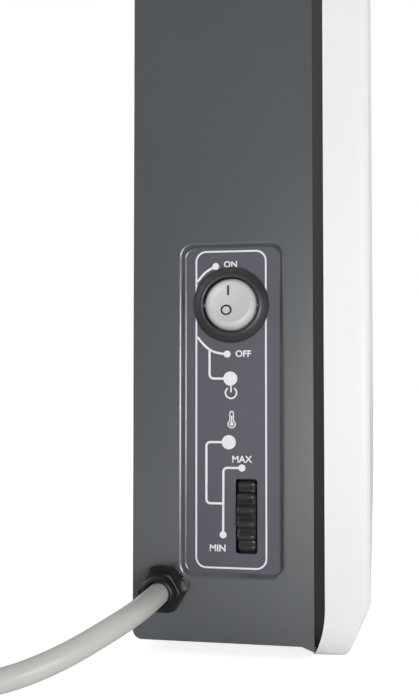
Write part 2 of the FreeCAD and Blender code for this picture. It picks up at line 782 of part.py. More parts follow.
def control_cutouts(body):
    """The pressed pocket of the control end, with the holes for switch, thumb wheel and gland."""
    near, far = "control_y - pocket_ahead", "control_y + pocket_behind"
    low, high = "switch_height - pocket_below", "switch_height + pocket_above"
    boss = sketch(body, "YZ", "-end_x + case_sheet / 2")
    grow = "case_sheet"
    rounded(
        boss,
        f"{near} - {grow}",
        f"{low} - {grow}",
        f"{far} + {grow}",
        f"{high} + {grow}",
        "pocket_corner + case_sheet",
    )
    pad(body, boss, "pocket_depth + case_sheet / 2")
    sunk = sketch(body, "YZ", "-end_x")
    rounded(sunk, near, low, far, high, "pocket_corner")
    pressed = pocket(body, sunk, "pocket_depth", backwards=True)
    bind(pressed, TaperAngle="-pocket_slope * 1 deg")
    doc.recompute()
    window = [
        (value(f"{across} {side} {grow} / 2"), value(f"{up} {side} {grow} / 2"))
        for side, across, up in (("-", near, low), ("+", far, high))
    ]
    rim = edges_in_plane(pressed.Shape, value("-end_x"), *window)
    pressed = fillet(body, pressed, rim, "pocket_rim")
    root = edges_in_plane(pressed.Shape, value("pocket_floor_x"), *window)
    fillet(body, pressed, root, "pocket_root")
    holes = sketch(body, "YZ", "-end_x - 1")
    circle(holes, "control_y", "switch_height", "switch_hole_dia / 2")
    circle(holes, "gland_y", "gland_z", "gland_thread_dia / 2 + thread_gap")
    rounded(
        holes,
        "wheel_y - slot_width / 2",
        "wheel_z - slot_height / 2",
        "wheel_y + slot_width / 2",
        "wheel_z + slot_height / 2",
        "slot_corner",
    )
    pocket(body, holes, "flange_depth", backwards=True)
    notch = sketch(body, "XZ", "back_y - case_bend")
    half_nut = "(nut_flats / 2 + 2)"
    start = "-end_x + case_sheet"
    rectangle(notch, start, f"gland_z - {half_nut}", f"{start} + flange_depth", f"gland_z + {half_nut}")
    pocket(body, notch)


def back_screw(x, z, seat_y):
    """A self-tapping screw driven from behind, with its head on seat_y."""
    shank = cylinder("Y", x, f"{seat_y} - screw_length", z, "screw_dia / 2", "screw_length")
    head = cone("Y", x, seat_y, z, "screw_head_dia / 2", "screw_head_dia / 2 - 1", "screw_head")
    return fuse(shank, head)


def fasteners():
    spots = [(f"{side}({SCREW_X})", height) for side in ("-", "") for height in screw_heights()]
    panel_screws = [back_screw(x, z, "back_y") for x, z in spots]
    keep("end_panel_screws", fuse(*panel_screws))
    ears = [f"{side}(bracket_width - ear_width) / 2" for side in ("-", "")]
    seat = "back_y + bracket_sheet"
    keep("bracket_screws", fuse(*[back_screw(x, "bracket_bottom - ear_height / 2", seat) for x in ears]))


def wall_bracket():
    """A channel on the wall, with hooks that go through the back plate and ears that are screwed to it."""
    thick = "bracket_sheet"
    left, wide = "-bracket_width / 2", "bracket_width"
    pieces = [
        box(left, "wall_y - bracket_sheet", "bracket_bottom", wide, thick, "bracket_height"),
        box(left, "back_y", "bracket_top - bracket_sheet", wide, "bracket_stand", thick),
        box(left, "back_y", "bracket_bottom", wide, "bracket_stand", thick),
    ]
    inner = "inner_back_y - seat_gap - bracket_sheet"
    holes = []
    for side in ("-", ""):
        hook = f"{side}hook_spacing / 2 - hook_width / 2"
        reach = f"back_y - ({inner}) + bracket_sheet"
        pieces.append(box(hook, inner, "bracket_top - bracket_sheet", "hook_width", reach, thick))
        pieces.append(box(hook, inner, "bracket_top - bracket_sheet", "hook_width", thick, "hook_height"))
        ear = f"{side}(bracket_width - ear_width) / 2"
        pieces.append(
            box(
                f"{ear} - ear_width / 2",
                "back_y",
                "bracket_bottom - ear_height",
                "ear_width",
                thick,
                "ear_height + 1",
            )
        )
        holes.append(
            cylinder(
                "Y", ear, "back_y - 1", "bracket_bottom - ear_height / 2", "screw_dia / 2 + thread_gap", "5"
            )
        )
        for level in ("-", "+"):
            height = f"bracket_bottom + bracket_height / 2 {level} bracket_hole_spacing_z / 2"
            across = f"{side}bracket_hole_spacing_x / 2"
            holes.append(
                cylinder(
                    "Y",
                    across,
                    "wall_y - bracket_sheet - 1",
                    height,
                    "bracket_hole_dia / 2",
                    "bracket_sheet + 2",
                )
            )
    keep("wall_bracket", cut(fuse(*pieces), *holes))


# Switch and thermostat

PIVOT_X = "pocket_floor_x + rocker_pivot_in"


def switch():
    """The round rocker switch, snapped into the pocket floor."""
    top = "bezel_height * 0.35"
    housing = fuse(
        cylinder("X", f"pocket_floor_x - {top}", "control_y", "switch_height", "bezel_dia / 2", top),
        cone(
            "X",
            "pocket_floor_x - bezel_height",
            "control_y",
            "switch_height",
            "bezel_top_dia / 2",
            "bezel_dia / 2",
            f"bezel_height - {top}",
        ),
        cylinder(
            "X", "pocket_floor_x", "control_y", "switch_height", "switch_body_dia / 2", "switch_body_depth"
        ),
    )
    well = "rocker_dia / 2 + rocker_gap"
    cavity = cylinder(
        "X",
        "pocket_floor_x - bezel_height - 1",
        "control_y",
        "switch_height",
        well,
        "bezel_height + 1 + rocker_dia / 2",
    )
    long = "switch_body_dia - 1.2"
    pin_hole = cylinder(
        "Y", PIVOT_X, f"control_y - ({long}) / 2", "switch_height", "pivot_pin_dia / 2 + run_gap / 2", long
    )
    keep("switch_housing", cut(housing, cavity, pin_hole))
    keep(
        "rocker_pin",
        cylinder("Y", PIVOT_X, f"control_y - ({long}) / 2", "switch_height", "pivot_pin_dia / 2", long),
    )
    ball = doc.addObject("Part::Sphere", "Ball")
    bind(ball, Radius="rocker_dia / 2")
    slab = box(
        "-rocker_face",
        "-rocker_dia",
        "-rocker_dia",
        "rocker_face + rocker_low",
        "2 * rocker_dia",
        "2 * rocker_dia",
    )
    lens = doc.addObject("Part::MultiCommon", "Lens")
    lens.Shapes = [ball, slab]
    dish = cylinder(
        "Y",
        "rocker_dish - rocker_face - rocker_dish_radius",
        "-rocker_dia",
        "0",
        "rocker_dish_radius",
        "2 * rocker_dia",
    )
    bore = cylinder("Y", "0", "-rocker_dia", "0", "pivot_pin_dia / 2 + run_gap", "2 * rocker_dia")
    rocker = keep("switch_rocker", cut(lens, dish, bore))
    rocker.Placement = FreeCAD.Placement(V(), FreeCAD.Rotation(V(0, 1, 0), 1))
    bind(rocker, **{"Placement.Rotation.Angle": "rocker_tilt"})
    place(rocker, PIVOT_X, "control_y", "switch_height")
    blades = []
    for side in ("-", "+"):
        height = f"switch_height {side} blade_spread"
        blades.append(
            box(
                "pocket_floor_x + switch_body_depth",
                "control_y - blade_width / 2",
                f"{height} - blade_thick / 2",
                "blade_length",
                "blade_width",
                "blade_thick",
            )
        )
    keep("switch_terminals", fuse(*blades))


def thumb_wheel():
    """The scalloped wheel that shows in the slot, on the thermostat's spindle."""
    body = part_body("thermostat_wheel")
    disc = sketch(body, "XZ")
    circle(disc, "0", "0", "wheel_dia / 2")
    pad(body, disc, "wheel_width", both=True)
    grip = sketch(body, "XZ")
    circle(grip, "0", "wheel_dia / 2 + grip_radius * 0.25", "grip_radius")
    scallop = pocket(body, grip, both=True)
    ring = body.newObject("PartDesign::PolarPattern", "Grips")
    ring.Originals = [scallop]
    ring.Axis = (grip, ["N_Axis"])
    ring.Angle = 360
    bind(ring, Occurrences="wheel_grips")
    body.Tip = ring
    doc.recompute()
    bore = sketch(body, "XZ")
    circle(bore, "0", "0", "spindle_dia / 2 + run_gap / 2")
    pocket(body, bore, both=True)
    place(body, "wheel_x", "wheel_y", "wheel_z")


def thermostat():
    start = "wheel_y - wheel_width / 2"
    long = f"thermo_body_y + thermo_socket - ({start}) - run_gap * 4"
    keep("thermostat_spindle", cylinder("Y", "wheel_x", start, "wheel_z", "spindle_dia / 2", long))
    hole = "spindle_dia / 2 + run_gap"
    low = "wheel_z - thermo_height / 2"
    plate = fuse(
        box(
            "pocket_inner_x",
            "thermo_plate_y",
            low,
            "thermo_length + thermo_plate",
            "thermo_plate",
            "thermo_height",
        ),
        box("pocket_inner_x", "thermo_plate_y", low, "thermo_plate", "thermo_depth", "thermo_height"),
    )
    keep(
        "thermostat_bracket",
        cut(plate, cylinder("Y", "wheel_x", "thermo_plate_y - 1", "wheel_z", hole, "thermo_plate + 2")),
    )
    body = box("thermo_body_x", "thermo_body_y", low, "thermo_length", "thermo_depth", "thermo_height")
    keep(
        "thermostat_body",
        cut(body, cylinder("Y", "wheel_x", "thermo_body_y - 1", "wheel_z", hole, "thermo_socket + 1")),
    )
    blades = []
    for side in ("-", "+"):
        blades.append(
            box(
                "thermo_body_x + thermo_length",
                "thermo_body_y + thermo_depth / 2 - blade_thick / 2",
                f"wheel_z {side} blade_spread - blade_width / 2",
                "blade_length",
                "blade_thick",
                "blade_width",
            )
        )
    keep("thermostat_terminals", fuse(*blades))


# Cable gland


def gland():
    y, z = "gland_y", "gland_z"
    face = "-end_x - gland_flange"
    barrel = fuse(
        cylinder("X", face, y, z, "gland_flange_dia / 2", "gland_flange"),
        cylinder("X", "-end_x", y, z, "gland_thread_dia / 2", "gland_barrel"),
        cylinder("X", f"{face} - gland_spigot", y, z, "gland_spigot_dia / 2", "gland_spigot"),
    )
    whole = "gland_spigot + gland_flange + gland_barrel"
    bore = cylinder("X", f"{face} - gland_spigot", y, z, "gland_bore_dia / 2", whole)
    keep("gland_body", cut(barrel, bore))
    hexagonal = hexagon("X", f"{face} - cap_length", y, z, "cap_flats", "cap_length")
    hexagonal.Placement.Rotation = FreeCAD.Rotation(V(1, 0, 0), 30) * TURN["X"]
    nose = cone("X", "cap_x", y, z, "cap_nose_dia / 2", "cap_flats / 2", "cap_nose")
    chamber = cylinder(
        "X",
        f"{face} - gland_spigot - seat_gap",
        y,
        z,
        "gland_spigot_dia / 2 + thread_gap",
        "gland_spigot + seat_gap",
    )
    mouth = cylinder("X", "cap_x - 1", y, z, "cord_dia / 2 + thread_gap", "cap_length + cap_nose + 1")
    keep("gland_cap", cut(fuse(hexagonal, nose), chamber, mouth))
    sleeve = cylinder(
        "X", f"{face} - gland_spigot", y, z, "gland_bore_dia / 2 - run_gap", "gland_spigot + gland_flange"
    )
    hole = cylinder(
        "X", f"{face} - gland_spigot", y, z, "cord_dia / 2 + run_gap", "gland_spigot + gland_flange"
    )
    keep("gland_seal", cut(sleeve, hole))
    nut = hexagon("X", "pocket_inner_x", y, z, "nut_flats", "nut_thick")
    thread = cylinder("X", "-end_x", y, z, "gland_thread_dia / 2 + thread_gap / 2", "gland_barrel")
    keep("gland_locknut", cut(nut, thread))


# Heating element


def heating_element():
    y, z = "element_y", "element_height"
    hub = cylinder("X", "element_start", y, z, "hub_dia / 2", "element_length")
    fins = []
    for turn in ("", "-"):
        fin = doc.addObject("Part::Box", "Fin")
        bind(fin, Length="element_length", Width="fin_width", Height="fin_thick")
        fin.Placement = FreeCAD.Placement(V(), FreeCAD.Rotation(V(1, 0, 0), 1))
        angle = f"{turn}fin_angle"
        bind(fin, **{"Placement.Rotation.Angle": angle})
        lean, rise = f"cos({angle} * 1 deg)", f"sin({angle} * 1 deg)"
        place(
            fin,
            "element_start",
            f"{y} - fin_width / 2 * {lean} + fin_thick / 2 * {rise}",
            f"{z} - fin_width / 2 * {rise} - fin_thick / 2 * {lean}",
        )
        fins.append(fin)
    bore = cylinder("X", "element_start - 1", y, z, "rod_dia / 2 + run_gap", "element_length + 2")
    keep("element_fins", cut(fuse(hub, *fins), bore))
    keep(
        "element_rod",
        cylinder("X", "element_start - rod_end", y, z, "rod_dia / 2", "element_length + 2 * rod_end"),
    )
    pins = [
        cylinder("X", "element_start - rod_end - pin_length", y, z, "pin_dia / 2", "pin_length"),
        cylinder("X", "element_end + rod_end", y, z, "pin_dia / 2", "pin_length"),
    ]
    keep("element_pins", fuse(*pins))
    for label, plate_x, foot_x in (
        (
            "element_hanger_near",
            "element_start - hanger_gap - hanger_sheet",
            "element_start - hanger_gap - hanger_foot",
        ),
        ("element_hanger_far", "element_end + hanger_gap", "element_end + hanger_gap"),
    ):
        low = f"{z} - hanger_height / 2"
        front = f"{y} - hanger_height / 2"
        plate = fuse(
            box(plate_x, front, low, "hanger_sheet", f"inner_back_y - ({front})", "hanger_height"),
            box(foot_x, "inner_back_y - hanger_sheet", low, "hanger_foot", "hanger_sheet", "hanger_height"),
        )
        hole = cylinder("X", f"{plate_x} - 1", y, z, "bush_dia / 2 + run_gap", "hanger_sheet + 2")
        keep(label, cut(plate, hole))
    bushes = []
    for middle in (
        "element_start - hanger_gap - hanger_sheet / 2", "element_end + hanger_gap + hanger_sheet / 2"
    ):
        ring = cylinder("X", f"{middle} - bush_length / 2", y, z, "bush_dia / 2", "bush_length")
        bore = cylinder("X", f"{middle} - bush_length / 2", y, z, "rod_dia / 2 + run_gap", "bush_length")
        bushes.append(cut(ring, bore))
    keep("element_bushes", fuse(*bushes))
    left = "element_start - hanger_gap + shield_gap"
    wide = "element_length + 2 * (hanger_gap - shield_gap)"
    deep = "shield_stand"
    keep(
        "heat_shield",
        fuse(
            box(left, "shield_y", "shield_bottom", wide, "shield_sheet", "shield_height"),
            box(left, "shield_y", "shield_bottom", wide, deep, "shield_sheet"),
            box(
                left, "shield_y", "shield_bottom + shield_height - shield_sheet", wide, deep, "shield_sheet"
            ),
        ),
    )
    keep(
        "overheat_cutout",
        cylinder("Y", "cutout_x", "shield_y - cutout_thick", "cutout_z", "cutout_dia / 2", "cutout_thick"),
    )
    blades = [
        box(
            f"cutout_x {side} cutout_dia / 4 - blade_width / 2",
            "shield_y - cutout_thick - blade_length",
            "cutout_z - blade_thick / 2",
            "blade_width",
            "blade_length",
            "blade_thick",
        )
        for side in ("-", "+")
    ]
    keep("cutout_terminals", fuse(*blades))


# Wiring inside the casing


def terminal_block():
    middle = "gland_z"
    low = f"{middle} - block_height / 2"
    body = box("block_x", "block_y", low, "block_length", "block_depth", "block_height")
    holes, screws = [], []
    for step in (-1, 0, 1):
        height = f"{middle} + {step} * core_pitch"
        place_x = "block_x + block_length / 2"
        holes.append(
            cylinder(
                "Y", place_x, "block_y", height, "block_screw_dia / 2 + thread_gap", "block_screw_length"
            )
        )
        screws.append(
            cylinder("Y", place_x, "block_y", height, "block_screw_dia / 2", "block_screw_length")
        )
    keep("terminal_block", cut(body, *holes))
    keep("terminal_screws", fuse(*screws))
    keep("inner_cord", cylinder("X", "cap_x", "gland_y", "gland_z", "cord_dia / 2", "block_x - 2 - cap_x"))
    leads = [
        cylinder(
            "X", "block_x - 2", "gland_y", f"{middle} + {step} * cord_dia / 3", "core_dia / 2 - 0.2", "2"
        )
        for step in (-1, 0, 1)
    ]
    keep("cord_cores", fuse(*leads))
    stud = cylinder("Z", "stud_x", "gland_y", "inner_base_z", "stud_dia / 2", "stud_length")
    keep("earth_stud", stud)
    seat = "inner_base_z + stud_length / 2"
    nut = hexagon("Z", "stud_x", "gland_y", seat, "stud_nut_flats", "stud_nut")
    keep(
        "earth_nut",
        cut(nut, cylinder("Z", "stud_x", "gland_y", seat, "stud_dia / 2 + thread_gap / 2", "stud_nut")),
    )


def sensor():
    y, z = "bulb_y", "bulb_height"
    keep("sensor_bulb", cylinder("X", "bulb_x", y, z, "bulb_dia / 2", "bulb_length"))
    middle = "bulb_x + bulb_length / 2 - clip_width / 2"
    half = "bulb_dia / 2 + clip_wall"
    post = box(
        middle,
        f"{y} - ({half})",
        "inner_base_z",
        "clip_width",
        f"2 * ({half})",
        f"{z} + {half} - (inner_base_z)",
    )
    hole = cylinder("X", f"{middle} - 1", y, z, "bulb_dia / 2 + run_gap", "clip_width + 2")
    keep("sensor_clip", cut(post, hole))
    start = point(
        "thermo_body_x + thermo_length",
        "thermo_body_y + capillary_dia",
        "wheel_z - thermo_height / 2 + 3",
    )
    end = point("bulb_x", y, z)
    bend = value("capillary_dia") * 8
    corners = [
        start,
        start + V(bend, 0, 0),
        V(end.x - 2 * bend, (start.y + end.y) / 2, start.z - 1),
        end - V(bend, 0, 0),
        end,
    ]
    tube("capillary_tube", corners, value("capillary_dia / 2"))


def wires():
    """Insulated wires between the terminals, each along straight runs and arcs in free space."""
    radius = value("core_dia / 2")
    block = point("block_end_x", "block_y + block_depth / 2", "gland_z")
    pitch = value("core_pitch")
    switch_end = point("pocket_floor_x + switch_body_depth + blade_length", "control_y", "switch_height")
    spread = value("blade_spread")
    thermo_end = point(
        "thermo_body_x + thermo_length + blade_length", "thermo_body_y + thermo_depth / 2", "wheel_z"
    )
    pin = point("element_start - rod_end - pin_length", "element_y", "element_height")
    far_pin = point("element_end + rod_end + pin_length", "element_y", "element_height")
    cutout = point("cutout_x", "shield_y - cutout_thick - blade_length", "cutout_z")
    blade = V(value("cutout_dia / 4"), 0, 0)
    low, high = V(0, 0, -spread), V(0, 0, spread)
    live, earth = block + V(0, 0, pitch), block - V(0, 0, pitch)
    stud_side = point("stud_x - stud_dia / 2", "gland_y", "inner_base_z + stud_length / 2 - core_dia")

    def away(x, y, z):
        """An offset in wire diameters."""
        return V(x, y, z) * (2 * radius)

    out = away(5, 0, 0)
    run_start, run_end = block + away(18, -0.4, 1.7), V(far_pin.x, block.y, block.z) + away(-14, -0.4, 1.7)
    runs = math.ceil((run_end - run_start).Length / (25 * 2 * radius))
    sway = away(0, -0.4, 0.8)
    floor_run = [
        run_start + (run_end - run_start) * (i / runs) + sway * (i % 2) for i in range(runs + 1)
    ]
    front = away(0, -5.7, 0)
    routes = {
        "wire_live": [
            live,
            live + out,
            live + away(7, -0.8, 9),
            V(live.x, live.y, switch_end.z) + away(7, -1.7, -8),
            switch_end + high + away(6, 0, 0),
            switch_end + high,
        ],
        "wire_switched": [
            switch_end + low,
            switch_end + low + out,
            switch_end + low + away(7, 1.2, -7.5),
            thermo_end + away(6, -0.8, 10),
            thermo_end + high + out,
            thermo_end + high,
        ],
        "wire_heater": [
            thermo_end + low,
            thermo_end + low + out,
            thermo_end + low + away(8.3, -3.8, 6.7),
            pin + away(-5.8, 0.8, -25),
            pin + away(-6.7, 0.4, -5.8),
            pin - out,
            pin,
        ],
        "wire_neutral": [
            block,
            block + away(6, 0, 0),
            *floor_run,
            V(far_pin.x, block.y, block.z) + away(-3.3, -1.2, 9),
            V(far_pin.x, cutout.y, cutout.z) + front + away(-2.5, 0, -29),
            V(far_pin.x, cutout.y, cutout.z) + front + away(-3.8, -0.8, -6),
            V(far_pin.x, cutout.y, cutout.z) + front + away(-10, -0.4, 3.3),
            cutout + blade + front + away(6, 0, 2.5),
            cutout + blade + front,
            cutout + blade,
        ],
        "wire_return": [
            cutout - blade,
            cutout - blade + front,
            cutout - blade + front + away(5, -3.3, 6),
            V(far_pin.x, cutout.y, cutout.z) + front + away(-12.5, -5, 7.5),
            V(far_pin.x, cutout.y, cutout.z) + front + away(0.8, -4.2, 0),
            far_pin + away(5.4, -1.7, 9),
            far_pin + out,
            far_pin,
        ],
        "wire_earth": [
            earth,
            earth + away(2.5, 0, 0),
            stud_side - away(2, 0, 0),
            stud_side,
        ],
    }
    for label, corners in routes.items():
        tube(label, corners, radius)


# Free mains cord, its put-away coil, tie and plug


def mains_cord():
    """The free stretch from the gland to the coil, laid on the floor in one easy bend."""
    radius = value("cord_dia / 2")
    start = point("cap_x", "gland_y", "gland_z")
    middle = coil_facts()
    floor = middle["low"]
    end = V(middle["x"] - middle["outer"], middle["y"] - value("cord_dia"), floor)
    # Places on the route from the gland's nose, in cord diameters, with their height above the lowest turn.
    bend = [
        (-2.36, 0, None),
        (-4.48, 0.82, 0.83),
        (-6.12, 2.38, 0.49),
        (-7.05, 4.45, 0.18),
        (-7.15, 6.75, 0.03),
        (-6.95, 9.1, 0),
    ]
    thick, drop = value("cord_dia"), start.z - floor
    corners = [start]
    for along_x, along_y, share in bend:
        height = start.z if share is None else floor + drop * share
        corners.append(V(start.x + along_x * thick, start.y + along_y * thick, height))
    corners += [
        V(end.x, end.y - 14, floor),
        end,
    ]
    length, tightest = tube("mains_cord", corners, radius)
    print(f"mains_cord: {length:.0f} mm long, tightest radius {tightest:.1f} mm")


TURNS = 6.28
LAYERS = 4
TURNS_A_LAYER = 1.5
CLIMB = 0.25


def coil_facts():
    """The coil's centre, outer radius, pitch and layer heights, and the place of the plug's tail."""
    thick = value("cord_dia")
    pitch = thick + value("coil_gap")
    return {
        "x": value("coil_x"),
        "y": value("coil_y"),
        "pitch": pitch,
        "outer": value("coil_radius") + TURNS_A_LAYER * pitch / 2,
        "low": value("tie_thick + tie_gap") + thick / 2,
        "end": point("coil_x + plug_tail_x", "coil_y + plug_tail_y", "plug_dia / 2"),
    }


def smooth(share):
    """0 to 1 with level ends."""
    share = min(max(share, 0), 1)
    return share * share * (3 - 2 * share)


def coil_point(turn):
    """A place on the coil: it starts on the -X side, and winds in and out by turns, one layer on the next."""
    facts = coil_facts()
    pitch = facts["pitch"]
    layer = min(int(turn / TURNS_A_LAYER), LAYERS - 1)
    wound = turn - layer * TURNS_A_LAYER
    inward = wound if layer % 2 == 0 else TURNS_A_LAYER - wound
    radius = facts["outer"] - pitch * inward
    climbs = [smooth((turn - TURNS_A_LAYER * step + CLIMB) / (2 * CLIMB)) for step in range(1, LAYERS)]
    height = facts["low"] + pitch * sum(climbs)
    angle = math.pi - 2 * math.pi * turn
    return V(facts["x"] + radius * math.cos(angle), facts["y"] + radius * math.sin(angle), height)


def coil_heading(turn):
    step = 1e-4
    return (coil_point(turn + step) - coil_point(turn - step)).normalize()


def arc_from(start, heading, stop):
    """The arc from a point, along a heading, to another point."""
    chord = stop - start
    side = heading - chord * (heading.dot(chord) / chord.dot(chord))
    if side.Length < 1e-9:
        return Part.LineSegment(start, stop).toShape()
    bulge = chord.Length / 2 * math.tan(heading.getAngle(chord) / 2)
    return Part.Arc(start, (start + stop) * 0.5 + side.normalize() * bulge, stop).toShape()


def biarc(start, heading, stop, last):
    """Two arcs that leave one point along a heading and reach another along its own."""
    gap, both = stop - start, heading + last
    spare = 2 * (1 - heading.dot(last))
    reach = gap.dot(both)
    if spare < 1e-9:
        step = gap.dot(gap) / (2 * reach)
    else:
        step = (math.sqrt(reach * reach + spare * gap.dot(gap)) - reach) / spare
    middle = (start + stop + (heading - last) * step) * 0.5
    second = arc_from(stop, last * -1, middle)
    return [arc_from(start, heading, middle), second]


def least_gap(points, thick):
    """The least gap between stretches of a tube that are not neighbours along it."""
    skip = math.ceil(3 * thick / (points[1] - points[0]).Length)
    least = min(
        points[i].distanceToPoint(points[j])
        for i in range(len(points))
        for j in range(i + skip, len(points))
    )
    return least - thick


def cord_coil():
    """One unbroken tube in real loops, with a lead that drops from the top turn to the plug."""
    thick = value("cord_dia")
    stations = [i / 4 for i in range(int(4 * TURNS) + 1)] + [TURNS]
    spots = [coil_point(t) for t in stations]
    headings = [coil_heading(t) for t in stations]
    headings[0] = V(0, 1, 0)
    headings[-1] = V(headings[-1].x, headings[-1].y, 0).normalize()
    lean = math.radians(value("plug_turn"))
    towards = V(math.cos(lean), -math.sin(lean), 0)
    finish = coil_facts()["end"]
    spots.append(finish - towards * thick)
    headings.append(towards)
    edges = [Part.LineSegment(spots[0] - headings[0] * thick, spots[0]).toShape()]
    for i in range(len(spots) - 1):
        edges += biarc(spots[i], headings[i], spots[i + 1], headings[i + 1])
    edges.append(Part.LineSegment(spots[-1], finish).toShape())
    path = Part.Wire(Part.__sortEdges__(edges))
    ring = Part.Wire(Part.Circle(spots[0] - headings[0] * thick, headings[0], thick / 2).toShape())
    solid = path.makePipeShell([ring], True, False)
    share = solid.Volume / (math.pi * thick**2 / 4 * path.Length)
    if abs(share - 1) > 0.01:
        raise ValueError(f"the coil has {share:.3f} of the volume that its route gives")
    thing = doc.addObject("Part::Feature", "cord_coil")
    thing.Shape = solid
    thing.Placement = FreeCAD.Placement()
    keep("cord_coil", thing)
    gap = least_gap(path.discretize(Number=900), thick)
    print(f"cord_coil: {path.Length:.0f} mm long, least gap to itself {gap:.2f} mm")
    return finish


def cord_tie():
    """A flat tie round the bundle of turns, on the +X side of the coil."""
    facts = coil_facts()
    half = value("cord_dia / 2")
    crossed = [coil_point(turn) for turn in (0.5, 1.5, 2.5, 3.5, 4.5, 5.5)]
    across = [spot.x for spot in crossed]
    bow = value("tie_width") ** 2 / (8 * (min(across) - facts["x"])) + facts["pitch"] * 0.05
    slack = value("tie_gap")
    left, right = min(across) - half - slack - bow, max(across) + half + slack + facts["pitch"] * 0.05
    top = max(spot.z for spot in crossed) + half + slack
    wall = value("tie_thick")
    wide = value("tie_width")
    outer = Part.makeBox(
        right - left + 2 * wall, wide, top + wall, V(left - wall, facts["y"] - wide / 2, 0)
    )
    inner = Part.makeBox(right - left, wide, top - wall, V(left, facts["y"] - wide / 2, wall))
    thing = doc.addObject("Part::Feature", "cord_tie")
    thing.Shape = outer.cut(inner)
    thing.Placement = FreeCAD.Placement()
    keep("cord_tie", thing)


def plug(start):
    """A round two-pin plug with earth contacts, lying beside the coil with its strain relief on the cord."""
    x, y, z = "0", "0", "0"
    body = fuse(
        cone("X", x, y, z, "relief_dia / 2", "plug_neck_dia / 2", "relief_length"),
        cone("X", f"{x} + relief_length", y, z, "plug_neck_dia / 2", "plug_dia / 2", "plug_taper"),
        cylinder("X", f"{x} + relief_length + plug_taper", y, z, "plug_dia / 2", "plug_face"),
    )
    face = f"{x} + relief_length + plug_taper + plug_face"
    slots, clips = [], []
    for side in ("-1", "1"):
        slot_z = f"{z} + {side} * (plug_dia / 2 - earth_clip_thick / 2) - earth_clip_thick / 2 - 0.5"
        slots.append(
            box(
                f"{face} - plug_face",
                f"{y} - earth_clip_width / 2",
                slot_z,
                "plug_face",
                "earth_clip_width",
                "earth_clip_thick + 1",
            )
        )
        clip_z = f"{z} + {side} * (plug_dia / 2 - earth_clip_thick * 1.2) - earth_clip_thick / 2"
        clips.append(
            box(
                f"{face} - plug_face",
                f"{y} - earth_clip_width / 2",
                clip_z,
                "plug_face - 1",
                "earth_clip_width",
                "earth_clip_thick",
            )
        )
    clip_group = fuse(*clips)
    pieces = [keep("plug_body", cut(body, *slots, *clips)), keep("plug_earth_contacts", clip_group)]
    pins = [
        cylinder(
            "X", face, f"{y} + {side} * plug_pin_spacing / 2", z, "plug_pin_dia / 2", "plug_pin_length"
        )
        for side in (-1, 1)
    ]
    pieces.append(keep("plug_pins", fuse(*pins)))
    for piece in pieces:
        piece.Placement = FreeCAD.Placement(V(), FreeCAD.Rotation(V(0, 0, -1), 1))
        bind(piece, **{"Placement.Rotation.Angle": "plug_turn"})
        place(piece, *(f"{c:.6f}" for c in start))


def check_and_write():
    """Stops on a failed object or a bad shape, then writes one file for each sub-part."""
    doc.recompute()
    failed = [o.Name for o in doc.Objects if "Invalid" in o.State or "Error" in o.State]
    if failed:
        raise ValueError(f"failed objects: {failed}")
    for label, thing in nodes.items():
        if thing.Shape.isNull() or not thing.Shape.isValid() or not thing.Shape.Solids:
            raise ValueError(f"{label} has no valid solid")
    os.makedirs("parts", exist_ok=True)
    for label, thing in nodes.items():
        thing.Shape.exportStep(f"parts/{label}.step")
    print(f"{len(nodes)} sub-parts written")


front_panel()
joint_frame()
casing_wrap()
control_cutouts(end_panel("control_end_panel", -1))
end_panel("plain_end_panel", 1)
wall_bracket()
fasteners()
switch()
thumb_wheel()
thermostat()
gland()
heating_element()
terminal_block()
sensor()
wires()
mains_cord()
plug(cord_coil())
cord_tie()
check_and_write()
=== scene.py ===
"""An electric convector heater: its looks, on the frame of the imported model.

Lengths of pieces and patterns are in millimetres, those of the camera and the lamps in metres. The frame
is that of the solids: X along the heater with the control end at -X, front -Y, up +Z."""

import json
import math

import bmesh
import bpy
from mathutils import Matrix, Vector


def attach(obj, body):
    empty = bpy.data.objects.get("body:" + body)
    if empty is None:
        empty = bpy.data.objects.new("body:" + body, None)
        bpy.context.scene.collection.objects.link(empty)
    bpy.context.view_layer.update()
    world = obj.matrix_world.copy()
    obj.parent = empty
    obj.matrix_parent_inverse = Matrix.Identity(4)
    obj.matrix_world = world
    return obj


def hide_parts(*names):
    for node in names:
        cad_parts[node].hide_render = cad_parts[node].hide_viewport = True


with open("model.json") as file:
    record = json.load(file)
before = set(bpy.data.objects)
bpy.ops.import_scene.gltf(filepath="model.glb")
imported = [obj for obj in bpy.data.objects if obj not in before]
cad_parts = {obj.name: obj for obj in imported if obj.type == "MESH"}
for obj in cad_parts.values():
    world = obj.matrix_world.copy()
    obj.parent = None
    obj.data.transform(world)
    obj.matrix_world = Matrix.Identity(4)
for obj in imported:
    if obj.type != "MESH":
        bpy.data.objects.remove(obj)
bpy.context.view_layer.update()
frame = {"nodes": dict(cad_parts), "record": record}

MM = 0.001
POCKET_FLOOR = -245.4
POCKET_FRONT = -17.6
POCKET_BACK = 14.35
POCKET_BASE = 23.4
POCKET_TOP = 126.3
CONTROL_Y = -1.3
SWITCH_Z = 107.4
ROCKER_PIVOT_X = -245.0
ROCKER_TILT = 9
WHEEL = (-231.6, -6.0, 42.1)
GLAND_Y = 19.1
GLAND_Z = 20.1
CASE_END = -247.0
CASE_BACK = 29.6
BRACKET_FOOT = 31.1
CORD_DIA = 6.6
FOIL_THICK = 0.12
OUT_OF_PANEL = (0, math.radians(-90), 0)
READ_FROM_THE_END = (math.radians(90), 0, math.radians(-90))


# The camera

SENSOR = 36
FOCAL_PIXELS = 930
PICTURE_TALL = 700


def camera():
    data = bpy.data.cameras.new("camera")
    data.sensor_width = SENSOR
    data.lens = SENSOR * FOCAL_PIXELS / PICTURE_TALL
    data.clip_start = 0.01
    eye = bpy.data.objects.new("camera", data)
    eye.location = (-0.53086, -0.04518, 0.0825)
    eye.rotation_euler = (math.radians(92.155), 0, math.radians(-79.916))
    bpy.context.scene.collection.objects.link(eye)
    bpy.context.scene.camera = eye


camera()


# Modelling


